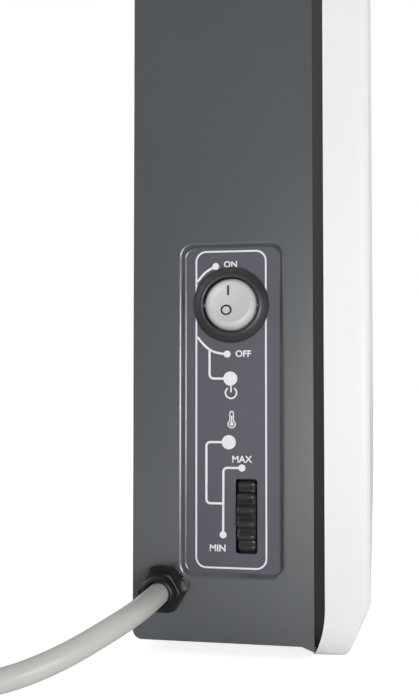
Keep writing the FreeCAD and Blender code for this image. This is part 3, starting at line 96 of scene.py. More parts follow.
def at(*place):
    """A place given in millimetres, in metres."""
    return Vector(place) * MM


def deselect():
    bpy.ops.object.select_all(action="DESELECT")


def open_piece(name):
    """Names the primitive that was just added, settles its place in its mesh and opens it for editing."""
    piece = bpy.context.active_object
    piece.name = name
    piece.data.name = name
    bpy.ops.object.transform_apply(location=True, rotation=True, scale=True)
    bpy.ops.object.mode_set(mode="EDIT")
    bpy.ops.mesh.select_mode(type="VERT")
    return piece


def block(name, low, high):
    """A cuboid between two corners, open for editing."""
    deselect()
    centre = (at(*low) + at(*high)) / 2
    bpy.ops.mesh.primitive_cube_add(size=1, location=centre, scale=at(*high) - at(*low))
    return open_piece(name)


def rod(name, start, direction, radius, length, sides=64):
    """A cylinder from a start along x, y or z, open for editing."""
    deselect()
    turns = {"x": (0, math.pi / 2, 0), "y": (-math.pi / 2, 0, 0), "z": (0, 0, 0)}
    steps = {"x": Vector((1, 0, 0)), "y": Vector((0, 1, 0)), "z": Vector((0, 0, 1))}
    bpy.ops.mesh.primitive_cylinder_add(
        vertices=sides,
        radius=radius * MM,
        depth=length * MM,
        location=at(*start) + steps[direction] * length * MM / 2,
        rotation=turns[direction],
    )
    return open_piece(name)


def turned(name, profile, sides=96):
    """A turned piece on the z axis, open for editing: a circle extruded ring by ring.

    The profile holds (height, radius) pairs."""
    deselect()
    height, radius = profile[0]
    bpy.ops.mesh.primitive_circle_add(
        vertices=sides, radius=radius * MM, fill_type="NOTHING", location=at(0, 0, height)
    )
    piece = open_piece(name)
    bpy.ops.mesh.select_all(action="SELECT")
    for (here, wide), (there, next_wide) in zip(profile, profile[1:]):
        bpy.ops.mesh.extrude_region_move(TRANSFORM_OT_translate={"value": at(0, 0, there - here)})
        grow = next_wide / wide
        bpy.ops.transform.resize(value=(grow, grow, 1), center_override=at(0, 0, there))
    return piece


def choose(piece, kind, test):
    """Selects the faces, edges or corners of the open piece that pass the test."""
    kinds = {"FACE": "faces", "EDGE": "edges", "VERT": "verts"}
    bpy.ops.mesh.select_mode(type=kind)
    bpy.ops.mesh.select_all(action="DESELECT")
    mesh = bmesh.from_edit_mesh(piece.data)
    for item in getattr(mesh, kinds[kind]):
        if test(item):
            item.select_set(True)
    bmesh.update_edit_mesh(piece.data)


def edge_middle(edge):
    return (edge.verts[0].co + edge.verts[1].co) / 2


def along(edge, axis):
    """True where an edge runs along the axis with that number."""
    run = edge.verts[1].co - edge.verts[0].co
    return abs(run[axis]) > 0.999 * run.length


def cap_ends():
    """Closes the open ends of the turned piece that is open for editing."""
    bpy.ops.mesh.select_mode(type="EDGE")
    bpy.ops.mesh.select_all(action="DESELECT")
    bpy.ops.mesh.select_non_manifold()
    bpy.ops.mesh.fill_holes(sides=0)


def settle():
    """Merges doubles, turns the faces outwards and ends the editing of the open piece."""
    bpy.ops.mesh.select_all(action="SELECT")
    bpy.ops.mesh.remove_doubles(threshold=1e-6)
    bpy.ops.mesh.normals_make_consistent(inside=False)
    bpy.ops.object.mode_set(mode="OBJECT")


def only(piece):
    """Makes the piece the one selected and active object."""
    deselect()
    piece.select_set(True)
    bpy.context.view_layer.objects.active = piece


def put(piece, place, turn):
    """Turns a closed piece and moves it to its place, and settles that in its mesh."""
    only(piece)
    piece.location = at(*place)
    piece.rotation_euler = turn
    bpy.ops.object.transform_apply(location=True, rotation=True, scale=True)


def shape_with(piece, kind, **settings):
    """Puts a modifier on a closed piece and applies it."""
    only(piece)
    step = piece.modifiers.new(kind, kind)
    for name, setting in settings.items():
        setattr(step, name, setting)
    bpy.ops.object.modifier_apply(modifier=step.name)


def cut_away(piece, cutter):
    """Takes a closed cutter out of a closed piece and removes the cutter."""
    shape_with(piece, "BOOLEAN", operation="DIFFERENCE", solver="EXACT", object=cutter)
    bpy.data.objects.remove(cutter)


def soften(piece, width, segments=2, angle=35):
    """Rounds the sharp edges of a closed piece."""
    shape_with(
        piece,
        "BEVEL",
        width=width * MM,
        segments=segments,
        limit_method="ANGLE",
        angle_limit=math.radians(angle),
        use_clamp_overlap=True,
        miter_outer="MITER_ARC",
    )


def joined(name, pieces):
    """Joins closed pieces into one."""
    only(pieces[0])
    for other in pieces[1:]:
        other.select_set(True)
    bpy.ops.object.join()
    whole = bpy.context.active_object
    whole.name = name
    whole.data.name = name
    return whole


def copy_of(piece):
    """A copy of a closed piece with its own mesh."""
    twin = piece.copy()
    twin.data = piece.data.copy()
    bpy.context.scene.collection.objects.link(twin)
    return twin


def finish_piece(piece, finish, body="heater", nodes=(), angle=30):
    """Shades a closed piece, gives it its finish and its body, and hides the solids that it stands for."""
    only(piece)
    bpy.ops.object.shade_smooth_by_angle(angle=math.radians(angle))
    slot_name, material = finish
    piece.data.materials.clear()
    piece.data.materials.append(material)
    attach(piece, body)
    if nodes:
        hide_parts(*nodes)
    return piece


# Finishes


def linear(code):
    """An sRGB hex colour as linear red, green, blue and alpha."""
    levels = [int(code[spot : spot + 2], 16) / 255 for spot in (1, 3, 5)]
    straight = [level / 12.92 if level <= 0.04045 else ((level + 0.055) / 1.055) ** 2.4 for level in levels]
    return (*straight, 1.0)


def add(tree, kind, links, **settings):
    """Adds a node with its settings. links gives each input a number, a colour or another node's output."""
    made = tree.nodes.new(kind)
    for name, setting in settings.items():
        setattr(made, name, setting)
    for name, source in links.items():
        if isinstance(source, bpy.types.NodeSocket):
            tree.links.new(source, made.inputs[name])
        else:
            made.inputs[name].default_value = source
    return made


def new_finish(name, **sockets):
    """A new material with the constant sockets of its shader set."""
    material = bpy.data.materials.new(name)
    material.use_nodes = True
    shader = material.node_tree.nodes["Principled BSDF"]
    for socket, amount in sockets.items():
        shader.inputs[socket.replace("_", " ")].default_value = amount
    place = material.node_tree.nodes.new("ShaderNodeTexCoord").outputs["Object"]
    return material, material.node_tree, shader, place


def per_mm(size):
    """The scale of a pattern on metres whose features are this many millimetres apart."""
    return 1 / (size * MM)


def colour_by(tree, shader, share, first, second):
    """Gives the shader a colour that goes from the first to the second with the share."""
    tint = add(
        tree,
        "ShaderNodeMix",
        {0: share, 6: linear(first), 7: linear(second)},
        data_type="RGBA",
    )
    tree.links.new(tint.outputs[2], shader.inputs["Base Color"])


def gloss_by(tree, shader, share, low, high):
    """Gives the shader a roughness that goes from low to high with the share."""
    sheen = add(tree, "ShaderNodeMapRange", {"Value": share, "To Min": low, "To Max": high})
    tree.links.new(sheen.outputs["Result"], shader.inputs["Roughness"])


def relief_by(tree, shader, height, strength, depth):
    """Gives the shader a fine relief of this depth in millimetres."""
    bump = add(
        tree,
        "ShaderNodeBump",
        {"Height": height, "Strength": strength, "Distance": depth * MM},
    )
    tree.links.new(bump.outputs["Normal"], shader.inputs["Normal"])


def powder_coat(name, shade, fleck, peel, relief, gloss, **sockets):
    """Baked polyester powder on sheet steel. Its skin is even and satin, with a slight orange peel that
    breaks reflections softly and a fine fleck of lighter grains. The grains are drawn coarser than the
    real ones, which are too fine to show."""
    material, tree, shader, place = new_finish(name, IOR=1.5, **sockets)
    grain = add(tree, "ShaderNodeTexNoise", {"Vector": place, "Scale": per_mm(0.9), "Detail": 2})
    cloud = add(tree, "ShaderNodeTexNoise", {"Vector": place, "Scale": per_mm(70), "Detail": 3})
    both = add(
        tree,
        "ShaderNodeMath",
        {0: grain.outputs["Fac"], 1: cloud.outputs["Fac"]},
        operation="MULTIPLY",
    )
    colour_by(tree, shader, both.outputs[0], shade, fleck)
    gloss_by(tree, shader, cloud.outputs["Fac"], gloss - 0.03, gloss + 0.03)
    skin = add(tree, "ShaderNodeTexNoise", {"Vector": place, "Scale": per_mm(peel), "Detail": 1})
    relief_by(tree, shader, skin.outputs["Fac"], relief, 0.05)
    return material


def moulded(name, shade, worn, grit, relief, gloss, **sockets):
    """A moulded plastic. The tool leaves a spark-eroded grit, and handling leaves cloudy, slightly
    shinier patches, so the gloss isn't the same all over. The grit is drawn coarser than the real one,
    which is too fine to show."""
    material, tree, shader, place = new_finish(name, IOR=1.5, **sockets)
    cloud = add(tree, "ShaderNodeTexNoise", {"Vector": place, "Scale": per_mm(9), "Detail": 4})
    colour_by(tree, shader, cloud.outputs["Fac"], shade, worn)
    gloss_by(tree, shader, cloud.outputs["Fac"], gloss - 0.07, gloss + 0.07)
    erosion = add(tree, "ShaderNodeTexNoise", {"Vector": place, "Scale": per_mm(grit), "Detail": 2})
    relief_by(tree, shader, erosion.outputs["Fac"], relief, 0.05)
    return material


def drawn_metal(name, shade, tarnish, lines, gloss):
    """Bright metal, plated or drawn through a die. Fine lines along its length stretch the highlights,
    and a thin tarnish dulls it in patches. lines gives their spacing along x, y and z, which is wider
    than the real one so that they show."""
    material, tree, shader, place = new_finish(name, Metallic=1.0)
    stretched = add(
        tree,
        "ShaderNodeMapping",
        {"Vector": place, "Scale": tuple(per_mm(spacing) for spacing in lines)},
    )
    scratch = add(
        tree, "ShaderNodeTexNoise", {"Vector": stretched.outputs["Vector"], "Scale": 1, "Detail": 2}
    )
    cloud = add(tree, "ShaderNodeTexNoise", {"Vector": place, "Scale": per_mm(6), "Detail": 4})
    colour_by(tree, shader, cloud.outputs["Fac"], shade, tarnish)
    gloss_by(tree, shader, scratch.outputs["Fac"], gloss - 0.1, gloss + 0.14)
    relief_by(tree, shader, scratch.outputs["Fac"], 0.2, 0.02)
    return material


def spangled_sheet(name, shade, bright, crystal):
    """Hot-dip galvanised sheet. The zinc freezes in flat crystals that each shine a little differently."""
    material, tree, shader, place = new_finish(name, Metallic=1.0)
    cells = add(tree, "ShaderNodeTexVoronoi", {"Vector": place, "Scale": per_mm(crystal)})
    tone = add(tree, "ShaderNodeSeparateColor", {"Color": cells.outputs["Color"]})
    colour_by(tree, shader, tone.outputs["Red"], shade, bright)
    gloss_by(tree, shader, tone.outputs["Green"], 0.34, 0.5)
    return material


def striped_wire(name, ground, stripe):
    """PVC earth wire: two colours run along it in bands, with the soft gloss of extruded PVC."""
    material, tree, shader, place = new_finish(name, IOR=1.53)
    band = add(
        tree,
        "ShaderNodeTexWave",
        {"Vector": place, "Scale": per_mm(14), "Distortion": 1.5, "Detail": 1},
        bands_direction="DIAGONAL",
    )
    edge = add(
        tree,
        "ShaderNodeMapRange",
        {"Value": band.outputs["Fac"], "From Min": 0.45, "From Max": 0.55},
    )
    colour_by(tree, shader, edge.outputs["Result"], ground, stripe)
    gloss_by(tree, shader, band.outputs["Fac"], 0.36, 0.46)
    return material


# The keys are the record's material slots. The shell is satin and even, the bracket a little duller.
FINISHES = {
    "panel_white": powder_coat("white_polyester_powder_coat", "#F3F3F2", "#F8F8F7", 2.4, 0.25, 0.42),
    # The powder flows out to a clear skin, which gives pressed edges their thin bright lines.
    "casing_grey": powder_coat(
        "graphite_polyester_powder_coat",
        "#484C50",
        "#4F5357",
        1.6,
        0.25,
        0.31,
        Specular_IOR_Level=0.6,
        Coat_Weight=1.0,
        Coat_Roughness=0.24,
        Coat_IOR=1.7,
    ),
    # The joint frame has the casing's graphite paint, made darker here as painted shade for the shade that
    # falls in the joint beside the white panel.
    "frame_dark": powder_coat("graphite_paint_darkened_as_painted_shade", "#252627", "#2D2E30", 2.0, 0.25, 0.42),
    "bracket_grey": powder_coat("grey_epoxy_powder_coat", "#6B6E70", "#75787A", 1.4, 0.4, 0.5),
    # Controls: a satin black ring, a milky rocker, and a shinier wheel with highlights on its ribs.
    "black_plastic": moulded("black_ABS", "#2E2F32", "#36373A", 0.7, 0.3, 0.36),
    "rocker_white": moulded("milky_polycarbonate", "#CDCDCE", "#D5D5D6", 1.2, 0.08, 0.36),
    "wheel_plastic": moulded("black_polyamide", "#2E2E2E", "#363636", 0.8, 0.2, 0.18),
    # Cord and gland: deep black nylon and rubber beside a pale, softly shining cord.
    "gland_nylon": moulded(
        "black_glass_filled_nylon", "#0E0F11", "#17181B", 0.8, 0.25, 0.36, Specular_IOR_Level=0.35
    ),
    "seal_rubber": moulded("black_neoprene", "#1E1E1E", "#282828", 0.6, 0.4, 0.7),
    "cord_grey": moulded("grey_extruded_PVC", "#C8CAC5", "#CFD1CC", 1.6, 0.15, 0.4),
    "plug_grey": moulded("grey_moulded_PVC", "#BFC1BD", "#C7C9C5", 0.9, 0.35, 0.5),
    "tie_black": moulded("black_nylon_tie", "#1B1B1C", "#242425", 0.8, 0.3, 0.45),
    # Metals: warm bright pins, cool screws, silvery fins and a rod browned by its heat.
    "pin_nickel": drawn_metal("nickel_plated_brass", "#CFCBC2", "#BDB8AC", (6, 0.3, 0.3), 0.24),
    "zinc_steel": drawn_metal("zinc_plated_steel", "#B9BDC2", "#A5A8A8", (0.5, 4, 0.5), 0.34),
    "fin_aluminium": drawn_metal("rolled_aluminium_fin", "#C9CBCD", "#B5B7BA", (8, 0.4, 0.4), 0.36),
    "rod_steel": drawn_metal("heat_tinted_stainless_steel", "#8C8174", "#6F665F", (9, 0.4, 0.4), 0.38),
    "shield_aluminium": spangled_sheet("galvanised_steel_sheet", "#A9ADB0", "#C5C8CA", 7),
    "brass": drawn_metal("tinned_brass", "#C8A765", "#A98A4C", (0.5, 0.5, 4), 0.3),
    # Insulators and wires: chalky ceramic, cream moulding and the usual wire colours.
    "ceramic_white": moulded("steatite_ceramic", "#E4DFD3", "#D5CFC1", 0.5, 0.5, 0.62),
    "moulding_cream": moulded("cream_melamine", "#D8CDB2", "#CFC3A5", 0.9, 0.3, 0.42),
    "copper": drawn_metal("bare_copper", "#B7724F", "#8F5A40", (5, 0.4, 0.4), 0.3),
    "wire_brown": moulded("brown_PVC_wire", "#6A4127", "#744A2E", 1.2, 0.15, 0.42),
    "wire_blue": moulded("blue_PVC_wire", "#2F66A6", "#3A70AE", 1.2, 0.15, 0.42),
    "wire_green": striped_wire("green_and_yellow_PVC_wire", "#3F8F3A", "#E0C332"),
}
# The foil is a dull violet grey, and its print and the rocker's marks are flat inks.
FOIL = moulded("printed_polycarbonate_film", "#50515C", "#565762", 1.1, 0.12, 0.5)
INK = moulded("white_screen_ink", "#EDEEF0", "#F3F3F5", 0.5, 0.2, 0.55)
MARK = moulded("black_pad_print_ink", "#1F2022", "#26272A", 0.5, 0.2, 0.5)


def slot_finish(slot_name):
    return slot_name, FINISHES[slot_name]


def dress_solids():
    """Every solid of the frame gets the finish of its slot."""
    for part in frame["record"]["subparts"]:
        mesh = frame["nodes"][part["node"]].data
        mesh.materials.clear()
        mesh.materials.append(FINISHES[part["material_slot"]])


dress_solids()


# The mains cord, with the turns of its put-away coil

CORD_RUN = [
    (-258.8, 19.1, 20.1),
    (-274.4, 19.1, 20.1),
    (-288.4, 24.5, 17.4),
    (-299.2, 34.8, 12.0),
    (-305.3, 48.5, 7.1),
    (-306.0, 63.7, 4.8),
    (-304.7, 79.2, 4.3),
    (-303.7, 94.3, 4.3),
    (-303.7, 108.3, 4.3),
]
PLUG_LEAD = [
    (-254.5, 154.0, 25.5),
    (-243.0, 151.2, 24.6),
    (-231.5, 147.9, 20.9),
    (-219.5, 145.0, 18.2),
    (-208.4, 143.9, 18.0),
]
COIL_CENTRE = (-265.4, 114.9)
COIL_OUTER = 38.33
COIL_PITCH = 7.1
COIL_FLOOR = 4.3
COIL_TURNS = 6.25
COIL_LAYERS = 4
TURNS_A_LAYER = 1.5
POINTS_A_TURN = 16


def eased(share):
    """A share from 0 to 1 that starts and ends softly."""
    share = min(max(share, 0), 1)
    return share * share * (3 - 2 * share)


def coil_points():
    """The coil winds in on the floor, then out and in again by turns, one layer on the next."""
    # The curve runs inside its points, so they lie this much further out.
    outside_the_line = 1.0194
    points = []
    for step in range(int(COIL_TURNS * POINTS_A_TURN) + 1):
        turn = step / POINTS_A_TURN
        layer = min(int(turn / TURNS_A_LAYER), COIL_LAYERS - 1)
        wound = turn - layer * TURNS_A_LAYER
        inward = wound if layer % 2 == 0 else TURNS_A_LAYER - wound
        reach = (COIL_OUTER - COIL_PITCH * inward) * outside_the_line
        climbs = [eased((turn - TURNS_A_LAYER * n + 0.25) / 0.5) for n in range(1, COIL_LAYERS)]
        angle = math.pi - 2 * math.pi * turn
        across, back = reach * math.cos(angle), reach * math.sin(angle)
        height = COIL_FLOOR + COIL_PITCH * sum(climbs)
        points.append((COIL_CENTRE[0] + across, COIL_CENTRE[1] + back, height))
    return points


def mains_cord():
    data = bpy.data.curves.new("mains_lead", "CURVE")
    data.dimensions = "3D"
    route = CORD_RUN + coil_points() + PLUG_LEAD
    line = data.splines.new("NURBS")
    line.points.add(len(route) - 1)
    for point, place in zip(line.points, route):
        point.co = (*at(*place), 1)
    line.order_u = 3
    line.use_endpoint_u = True
    line.resolution_u = 8
    data.bevel_depth = CORD_DIA / 2 * MM
    data.bevel_resolution = 6
    data.use_fill_caps = True
    lead = bpy.data.objects.new("mains_lead", data)
    bpy.context.scene.collection.objects.link(lead)
    data.materials.append(FINISHES["cord_grey"])
    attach(lead, "heater")
    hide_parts("mains_cord", "cord_coil")
    return lead


LEAD = mains_cord()


# The cable gland


def gland_nut():
    """The hexagonal compression nut with its domed mouth round the cord."""
    mouth = (-256.6, GLAND_Y, GLAND_Z)
    across_flats = 13.4
    nut = rod("gland_nut", mouth, "x", across_flats / 2 / math.cos(math.pi / 6), 6.2, sides=6)
    choose(nut, "EDGE", lambda edge: along(edge, 0))
    bpy.ops.mesh.bevel(offset=0.5 * MM, segments=3)
    choose(nut, "VERT", lambda corner: corner.co.x < -256 * MM)
    bpy.ops.transform.resize(value=(1, 0.86, 0.86), center_override=at(*mouth))
    settle()
    for start, wide, long in ((-255.6, 5.6, 6), (-257, 3.9, 7)):
        bore = rod("gland_nut_bore", (start, GLAND_Y, GLAND_Z), "x", wide, long)
        settle()
        cut_away(nut, bore)
    soften(nut, 0.25)
    dome = turned(
        "gland_dome",
        [
            (6.0, 3.6),
            (6.0, 5.5),
            (6.6, 5.5),
            (7.2, 5.35),
            (7.9, 4.95),
            (8.3, 4.45),
            (8.4, 4.1),
            (8.3, 3.8),
            (8.0, 3.65),
            (7.2, 3.6),
            (6.0, 3.6),
        ],
    )
    settle()
    put(dome, (CASE_END - 3.4, GLAND_Y, GLAND_Z), OUT_OF_PANEL)
    return finish_piece(joined("gland_nut", [nut, dome]), slot_finish("gland_nylon"), nodes=["gland_cap"])


def gland_collar():
    """The gland's flange on the panel, with grip notches round it, its spigot and its threaded barrel."""
    collar = turned(
        "gland_collar",
        [
            (-12.0, 4.6),
            (-12.0, 5.6),
            (-11.4, 6.0),
            (0.0, 6.0),
            (0.0, 6.6),
            (0.3, 6.6),
            (2.6, 6.6),
            (3.1, 6.45),
            (3.4, 6.1),
            (3.4, 5.3),
            (8.4, 5.3),
            (8.4, 4.6),
            (-12.0, 4.6),
        ],
        sides=120,
    )
    settle()
    put(collar, (CASE_END, GLAND_Y, GLAND_Z), OUT_OF_PANEL)
    bpy.ops.object.mode_set(mode="EDIT")
    centre = at(CASE_END, GLAND_Y, GLAND_Z)

    def in_a_notch(corner):
        reach = math.hypot(corner.co.y - centre.y, corner.co.z - centre.z)
        angle = math.degrees(math.atan2(corner.co.z - centre.z, corner.co.y - centre.y)) % 9
        return reach > 6.05 * MM and angle < 4

    choose(collar, "VERT", in_a_notch)
    bpy.ops.transform.resize(value=(1, 0.955, 0.955), center_override=centre)
    settle()
    return finish_piece(collar, slot_finish("gland_nylon"), nodes=["gland_body"])


GLAND = [gland_nut(), gland_collar()]


# The cord tie and the plug


def cord_tie():
    """A flat nylon tie, closed round the turns, with its buckle and a short tail."""
    low, high = (-242.83, 109.9, 0.0), (-225.97, 119.9, 29.9)
    band = block("tie_band", low, high)
    choose(band, "FACE", lambda face: abs(face.normal.y) > 0.9)
    bpy.ops.mesh.delete(type="FACE")
    choose(band, "EDGE", lambda edge: along(edge, 1))
    bpy.ops.mesh.bevel(offset=3.2 * MM, segments=8)
    bpy.ops.mesh.select_all(action="SELECT")
    bpy.ops.mesh.normals_make_consistent(inside=False)
    bpy.ops.object.mode_set(mode="OBJECT")
    shape_with(band, "SOLIDIFY", thickness=0.7 * MM, offset=-1)
    soften(band, 0.15)
    buckle = block("tie_buckle", (-226.2, 109.3, 10.6), (-223.4, 120.5, 16.4))
    choose(buckle, "FACE", lambda face: face.normal.x > 0.9)
    bpy.ops.mesh.inset(thickness=1.4 * MM)
    bpy.ops.mesh.extrude_region_move(TRANSFORM_OT_translate={"value": at(-0.9, 0, 0)})
    settle()
    soften(buckle, 0.4, 3)
    tail = block("tie_tail", (-224.5, 111.0, 15.8), (-223.8, 118.8, 23.0))
    choose(tail, "FACE", lambda face: face.normal.z > 0.9)
    bpy.ops.mesh.extrude_region_move(TRANSFORM_OT_translate={"value": at(1.2, 0, 5.5)})
    bpy.ops.transform.resize(value=(1, 0.55, 1), center_override=at(-222.9, 114.9, 28.5))
    settle()
    soften(tail, 0.15)
    whole = joined("nylon_tie", [band, buckle, tail])
    return finish_piece(whole, slot_finish("tie_black"), nodes=["cord_tie"])


PLUG_TAIL = (-208.4, 143.9, 18.0)
PLUG_TURN = (0, math.radians(90), math.radians(-5))


def plug_shell():
    """The moulded plug: a ribbed strain relief, a waisted grip and a round face with its earth slots."""
    ribs = []
    for number in range(7):
        start = 1.2 + number * 2.9
        wide = 4.7 + 2.3 * start / 22
        ribs.append((start, wide))
        ribs.append((start + 1.5, wide + 0.15))
        ribs.append((start + 1.6, wide - 0.7))
        ribs.append((start + 2.7, wide - 0.6))
    shell = turned(
        "plug_shell",
        [(0.0, 3.4), (0.0, 4.3), (0.5, 4.7)]
        + ribs
        + [
            (22.0, 7.2),
            (25.0, 8.2),
            (28.5, 10.6),
            (31.5, 13.6),
            (34.5, 16.2),
            (37.0, 17.5),
            (39.0, 18.0),
            (52.4, 18.0),
            (53.4, 17.7),
            (54.0, 17.0),
            (54.0, 0.4),
        ],
    )
    cap_ends()
    settle()
    for side in (-1, 1):
        slot = block("earth_slot", (side * 17.3 - 1.3, -3.2, 38), (side * 17.3 + 1.3, 3.2, 56))
        settle()
        cut_away(shell, slot)
        grip = rod("finger_grip", (-20, side * 31, 37.6), "x", 14.4, 40)
        settle()
        cut_away(shell, grip)
    soften(shell, 0.3)
    put(shell, PLUG_TAIL, PLUG_TURN)
    return finish_piece(shell, slot_finish("plug_grey"), nodes=["plug_body"])


def plug_pin_pair():
    """Two nickel-plated pins with rounded tips: one is modelled and copied."""
    from_the_middle = 9.5
    pin = turned(
        "pin",
        [(51, 2.4), (54, 2.4), (70.2, 2.4), (71.6, 2.25), (72.5, 1.8), (72.9, 1.2), (73, 0.5)],
        sides=48,
    )
    cap_ends()
    settle()
    pins = []
    for side in (-1, 1):
        twin = copy_of(pin)
        put(twin, (0, side * from_the_middle, 0), (0, 0, 0))
        put(twin, PLUG_TAIL, PLUG_TURN)
        pins.append(twin)
    bpy.data.objects.remove(pin)
    return finish_piece(joined("plug_pin_pair", pins), slot_finish("pin_nickel"), nodes=["plug_pins"])


PLUG = [plug_shell(), plug_pin_pair()]
TIE = cord_tie()

CORD_PIECES = [TIE, *PLUG, *GLAND]
CORD_PIECES += [frame["nodes"][name] for name in ("plug_earth_contacts", "gland_seal", "inner_cord")]


# The rocker switch


def switch_bezel():
    """The round switch housing: a bevelled ring on the foil, the well of the rocker and the body behind."""
    bezel = turned(
        "switch_bezel",
        [
            (0.02, 9.9),
            (0.02, 11.55),
            (0.15, 11.8),
            (0.45, 11.85),
            (0.95, 11.75),
            (1.4, 11.35),
            (2.2, 10.2),
            (2.45, 9.75),
            (2.58, 9.35),
            (2.6, 9.0),
            (2.5, 8.72),
            (2.2, 8.56),
            (1.6, 8.5),
            (-8.1, 8.5),
            (-8.1, 1.0),
        ],
        sides=160,
    )
    bpy.ops.mesh.edge_face_add()
    settle()
    body = turned(
        "switch_body",
        [(0.02, 9.9), (-2.0, 9.9), (-3.5, 9.9), (-15.6, 9.9), (-16.0, 9.5), (-16.0, 1.0)],
        sides=160,
    )
    bpy.ops.mesh.edge_face_add()
    settle()
    whole = joined("switch_bezel", [bezel, body])
    bpy.ops.object.mode_set(mode="EDIT")
    settle()
    put(whole, (POCKET_FLOOR, CONTROL_Y, SWITCH_Z), OUT_OF_PANEL)
    return finish_piece(whole, slot_finish("black_plastic"), nodes=["switch_housing"])


def rocker_cap():
    """The milky rocker: a slice of a ball with a rounded shoulder and a dished face, rocking on its pin."""
    cap = turned(
        "rocker_cap",
        [
            (-3.2, 0.4),
            (-3.2, 7.65),
            (-1.5, 8.15),
            (0.0, 8.3),
            (1.0, 8.2),
            (2.0, 7.95),
            (2.7, 7.62),
            (3.15, 7.2),
            (3.42, 6.75),
            (3.5, 6.35),
            (3.42, 5.95),
            (3.24, 5.5),
            (3.03, 4.5),
            (2.79, 3.0),
            (2.67, 1.8),
            (2.6, 0.4),
        ],
        sides=128,
    )
    cap_ends()
    settle()
    bore = rod("rocker_bore", (0, -10, 0), "y", 1.5, 20, sides=32)
    settle()
    cut_away(cap, bore)
    put(cap, (ROCKER_PIVOT_X, CONTROL_Y, SWITCH_Z), (0, math.radians(ROCKER_TILT - 90), 0))
    return finish_piece(cap, slot_finish("rocker_white"), body="rocker", nodes=["switch_rocker"])


def on_the_dish(back, up):
    """Where a mark lies on the dished face, seen from the pivot, and how it leans there."""
    middle_face = 2.6
    ball = 24
    depth = ball - math.sqrt(ball**2 - back**2 - up**2)
    return (-middle_face - depth, back, up), (0, -math.asin(up / ball), math.asin(back / ball))


def rocker_marks():
    """The printed I and O of the rocker."""
    bar = block("mark_on", (-0.06, -0.33, -1.95), (0.06, 0.33, 1.95))
    choose(bar, "EDGE", lambda edge: along(edge, 0))
    bpy.ops.mesh.bevel(offset=0.2 * MM, segments=3)
    settle()
    put(bar, *on_the_dish(0.7, 4.0))
    deselect()
    bpy.ops.mesh.primitive_torus_add(
        major_radius=1.5 * MM,
        minor_radius=0.38 * MM,
        major_segments=72,
        minor_segments=12,
        rotation=(0, math.radians(90), 0),
    )
    ring = open_piece("mark_off")
    bpy.ops.mesh.select_all(action="SELECT")
    bpy.ops.transform.resize(value=(0.25, 1, 1), center_override=(0, 0, 0))
    settle()
    put(ring, *on_the_dish(1.2, -2.2))
    marks = joined("rocker_marks", [bar, ring])
    put(marks, (ROCKER_PIVOT_X, CONTROL_Y, SWITCH_Z), (0, math.radians(ROCKER_TILT), 0))
    return finish_piece(marks, ("black_plastic", MARK), body="rocker")


switch_bezel()
rocker_cap()
rocker_marks()


# The thermostat's thumb wheel


def thumb_wheel():
    """A ribbed wheel: rounded lobes with deep hollows between them, crowned at both rims."""
    lobes = 24
    corners = 10
    radius = 17
    width = 6
    rim_reach = 14.5 * MM
    low = (WHEEL[0], WHEEL[1] - width / 2, WHEEL[2])
    wheel = rod("ribbed_thumb_wheel", low, "y", radius, width, sides=lobes * corners)
    centre = at(*WHEEL)

    def reach(corner):
        return math.hypot(corner.co.x - centre.x, corner.co.z - centre.z)

    for side in (-1, 1):
        choose(wheel, "FACE", lambda face: face.normal.y * side > 0.9)
        bpy.ops.mesh.inset(thickness=3.4 * MM)
        bpy.ops.mesh.extrude_region_move(TRANSFORM_OT_translate={"value": at(0, -0.9 * side, 0)})
    # How far each corner of a lobe is drawn in, from the hollow over the crest to the next hollow.
    hollows = {0: 1.8, 1: 1.6, 2: 1.05, 3: 0.42, 4: 0.1, 6: 0.1, 7: 0.42, 8: 1.05, 9: 1.6}
    for step, depth in hollows.items():

        def in_step(corner):
            angle = math.degrees(math.atan2(corner.co.z - centre.z, corner.co.x - centre.x)) % 360
            spoke = round(angle / 360 * lobes * corners) % corners
            return reach(corner) > rim_reach and spoke == step

        choose(wheel, "VERT", in_step)
        shrink = (radius - depth) / radius
        bpy.ops.transform.resize(value=(shrink, 1, shrink), center_override=centre)

    def on_a_rim(edge):
        from_middle = abs(edge_middle(edge).y - centre.y)
        at_the_side = abs(from_middle - width / 2 * MM) < 1e-6
        outside = all(reach(corner) > rim_reach for corner in edge.verts)
        return at_the_side and outside and not along(edge, 1)

    choose(wheel, "EDGE", on_a_rim)
    bpy.ops.mesh.bevel(offset=1.1 * MM, segments=4)
    settle()
    spindle_bore = 3.025
    bore = rod("wheel_bore", low, "y", spindle_bore, 8, sides=48)
    bpy.ops.mesh.select_all(action="SELECT")
    bpy.ops.transform.translate(value=at(0, -1, 0))
    settle()
    cut_away(wheel, bore)
    return finish_piece(
        wheel, slot_finish("wheel_plastic"), body="thumb_wheel", nodes=["thermostat_wheel"], angle=40
    )


thumb_wheel()


# The printed foil in the pocket


def legend_foil():
    """The film that lines the pocket floor, with openings for the switch and the thumb wheel."""
    edge = 1.45
    slot_half_wide = 3.35
    slot_half_tall = 11.45
    low = (POCKET_FLOOR - FOIL_THICK, POCKET_FRONT + edge, POCKET_BASE + edge)
    high = (POCKET_FLOOR, POCKET_BACK - edge, POCKET_TOP - edge)
    foil = block("legend_foil", low, high)
    choose(foil, "EDGE", lambda line: along(line, 0))
    bpy.ops.mesh.bevel(offset=2.6 * MM, segments=12)
    settle()
    opening = rod("foil_round", (POCKET_FLOOR - 1, CONTROL_Y, SWITCH_Z), "x", 10.2, 2, sides=96)
    settle()
    cut_away(foil, opening)
    slot = block(
        "foil_slot",
        (POCKET_FLOOR - 1, WHEEL[1] - slot_half_wide, WHEEL[2] - slot_half_tall),
        (POCKET_FLOOR + 1, WHEEL[1] + slot_half_wide, WHEEL[2] + slot_half_tall),
    )
    choose(slot, "EDGE", lambda line: along(line, 0))
    bpy.ops.mesh.bevel(offset=0.9 * MM, segments=6)
    settle()
    cut_away(foil, slot)
    return finish_piece(foil, ("casing_grey", FOIL))


PRINT_X = POCKET_FLOOR - FOIL_THICK - 0.01
PRINT_THICK = 0.05


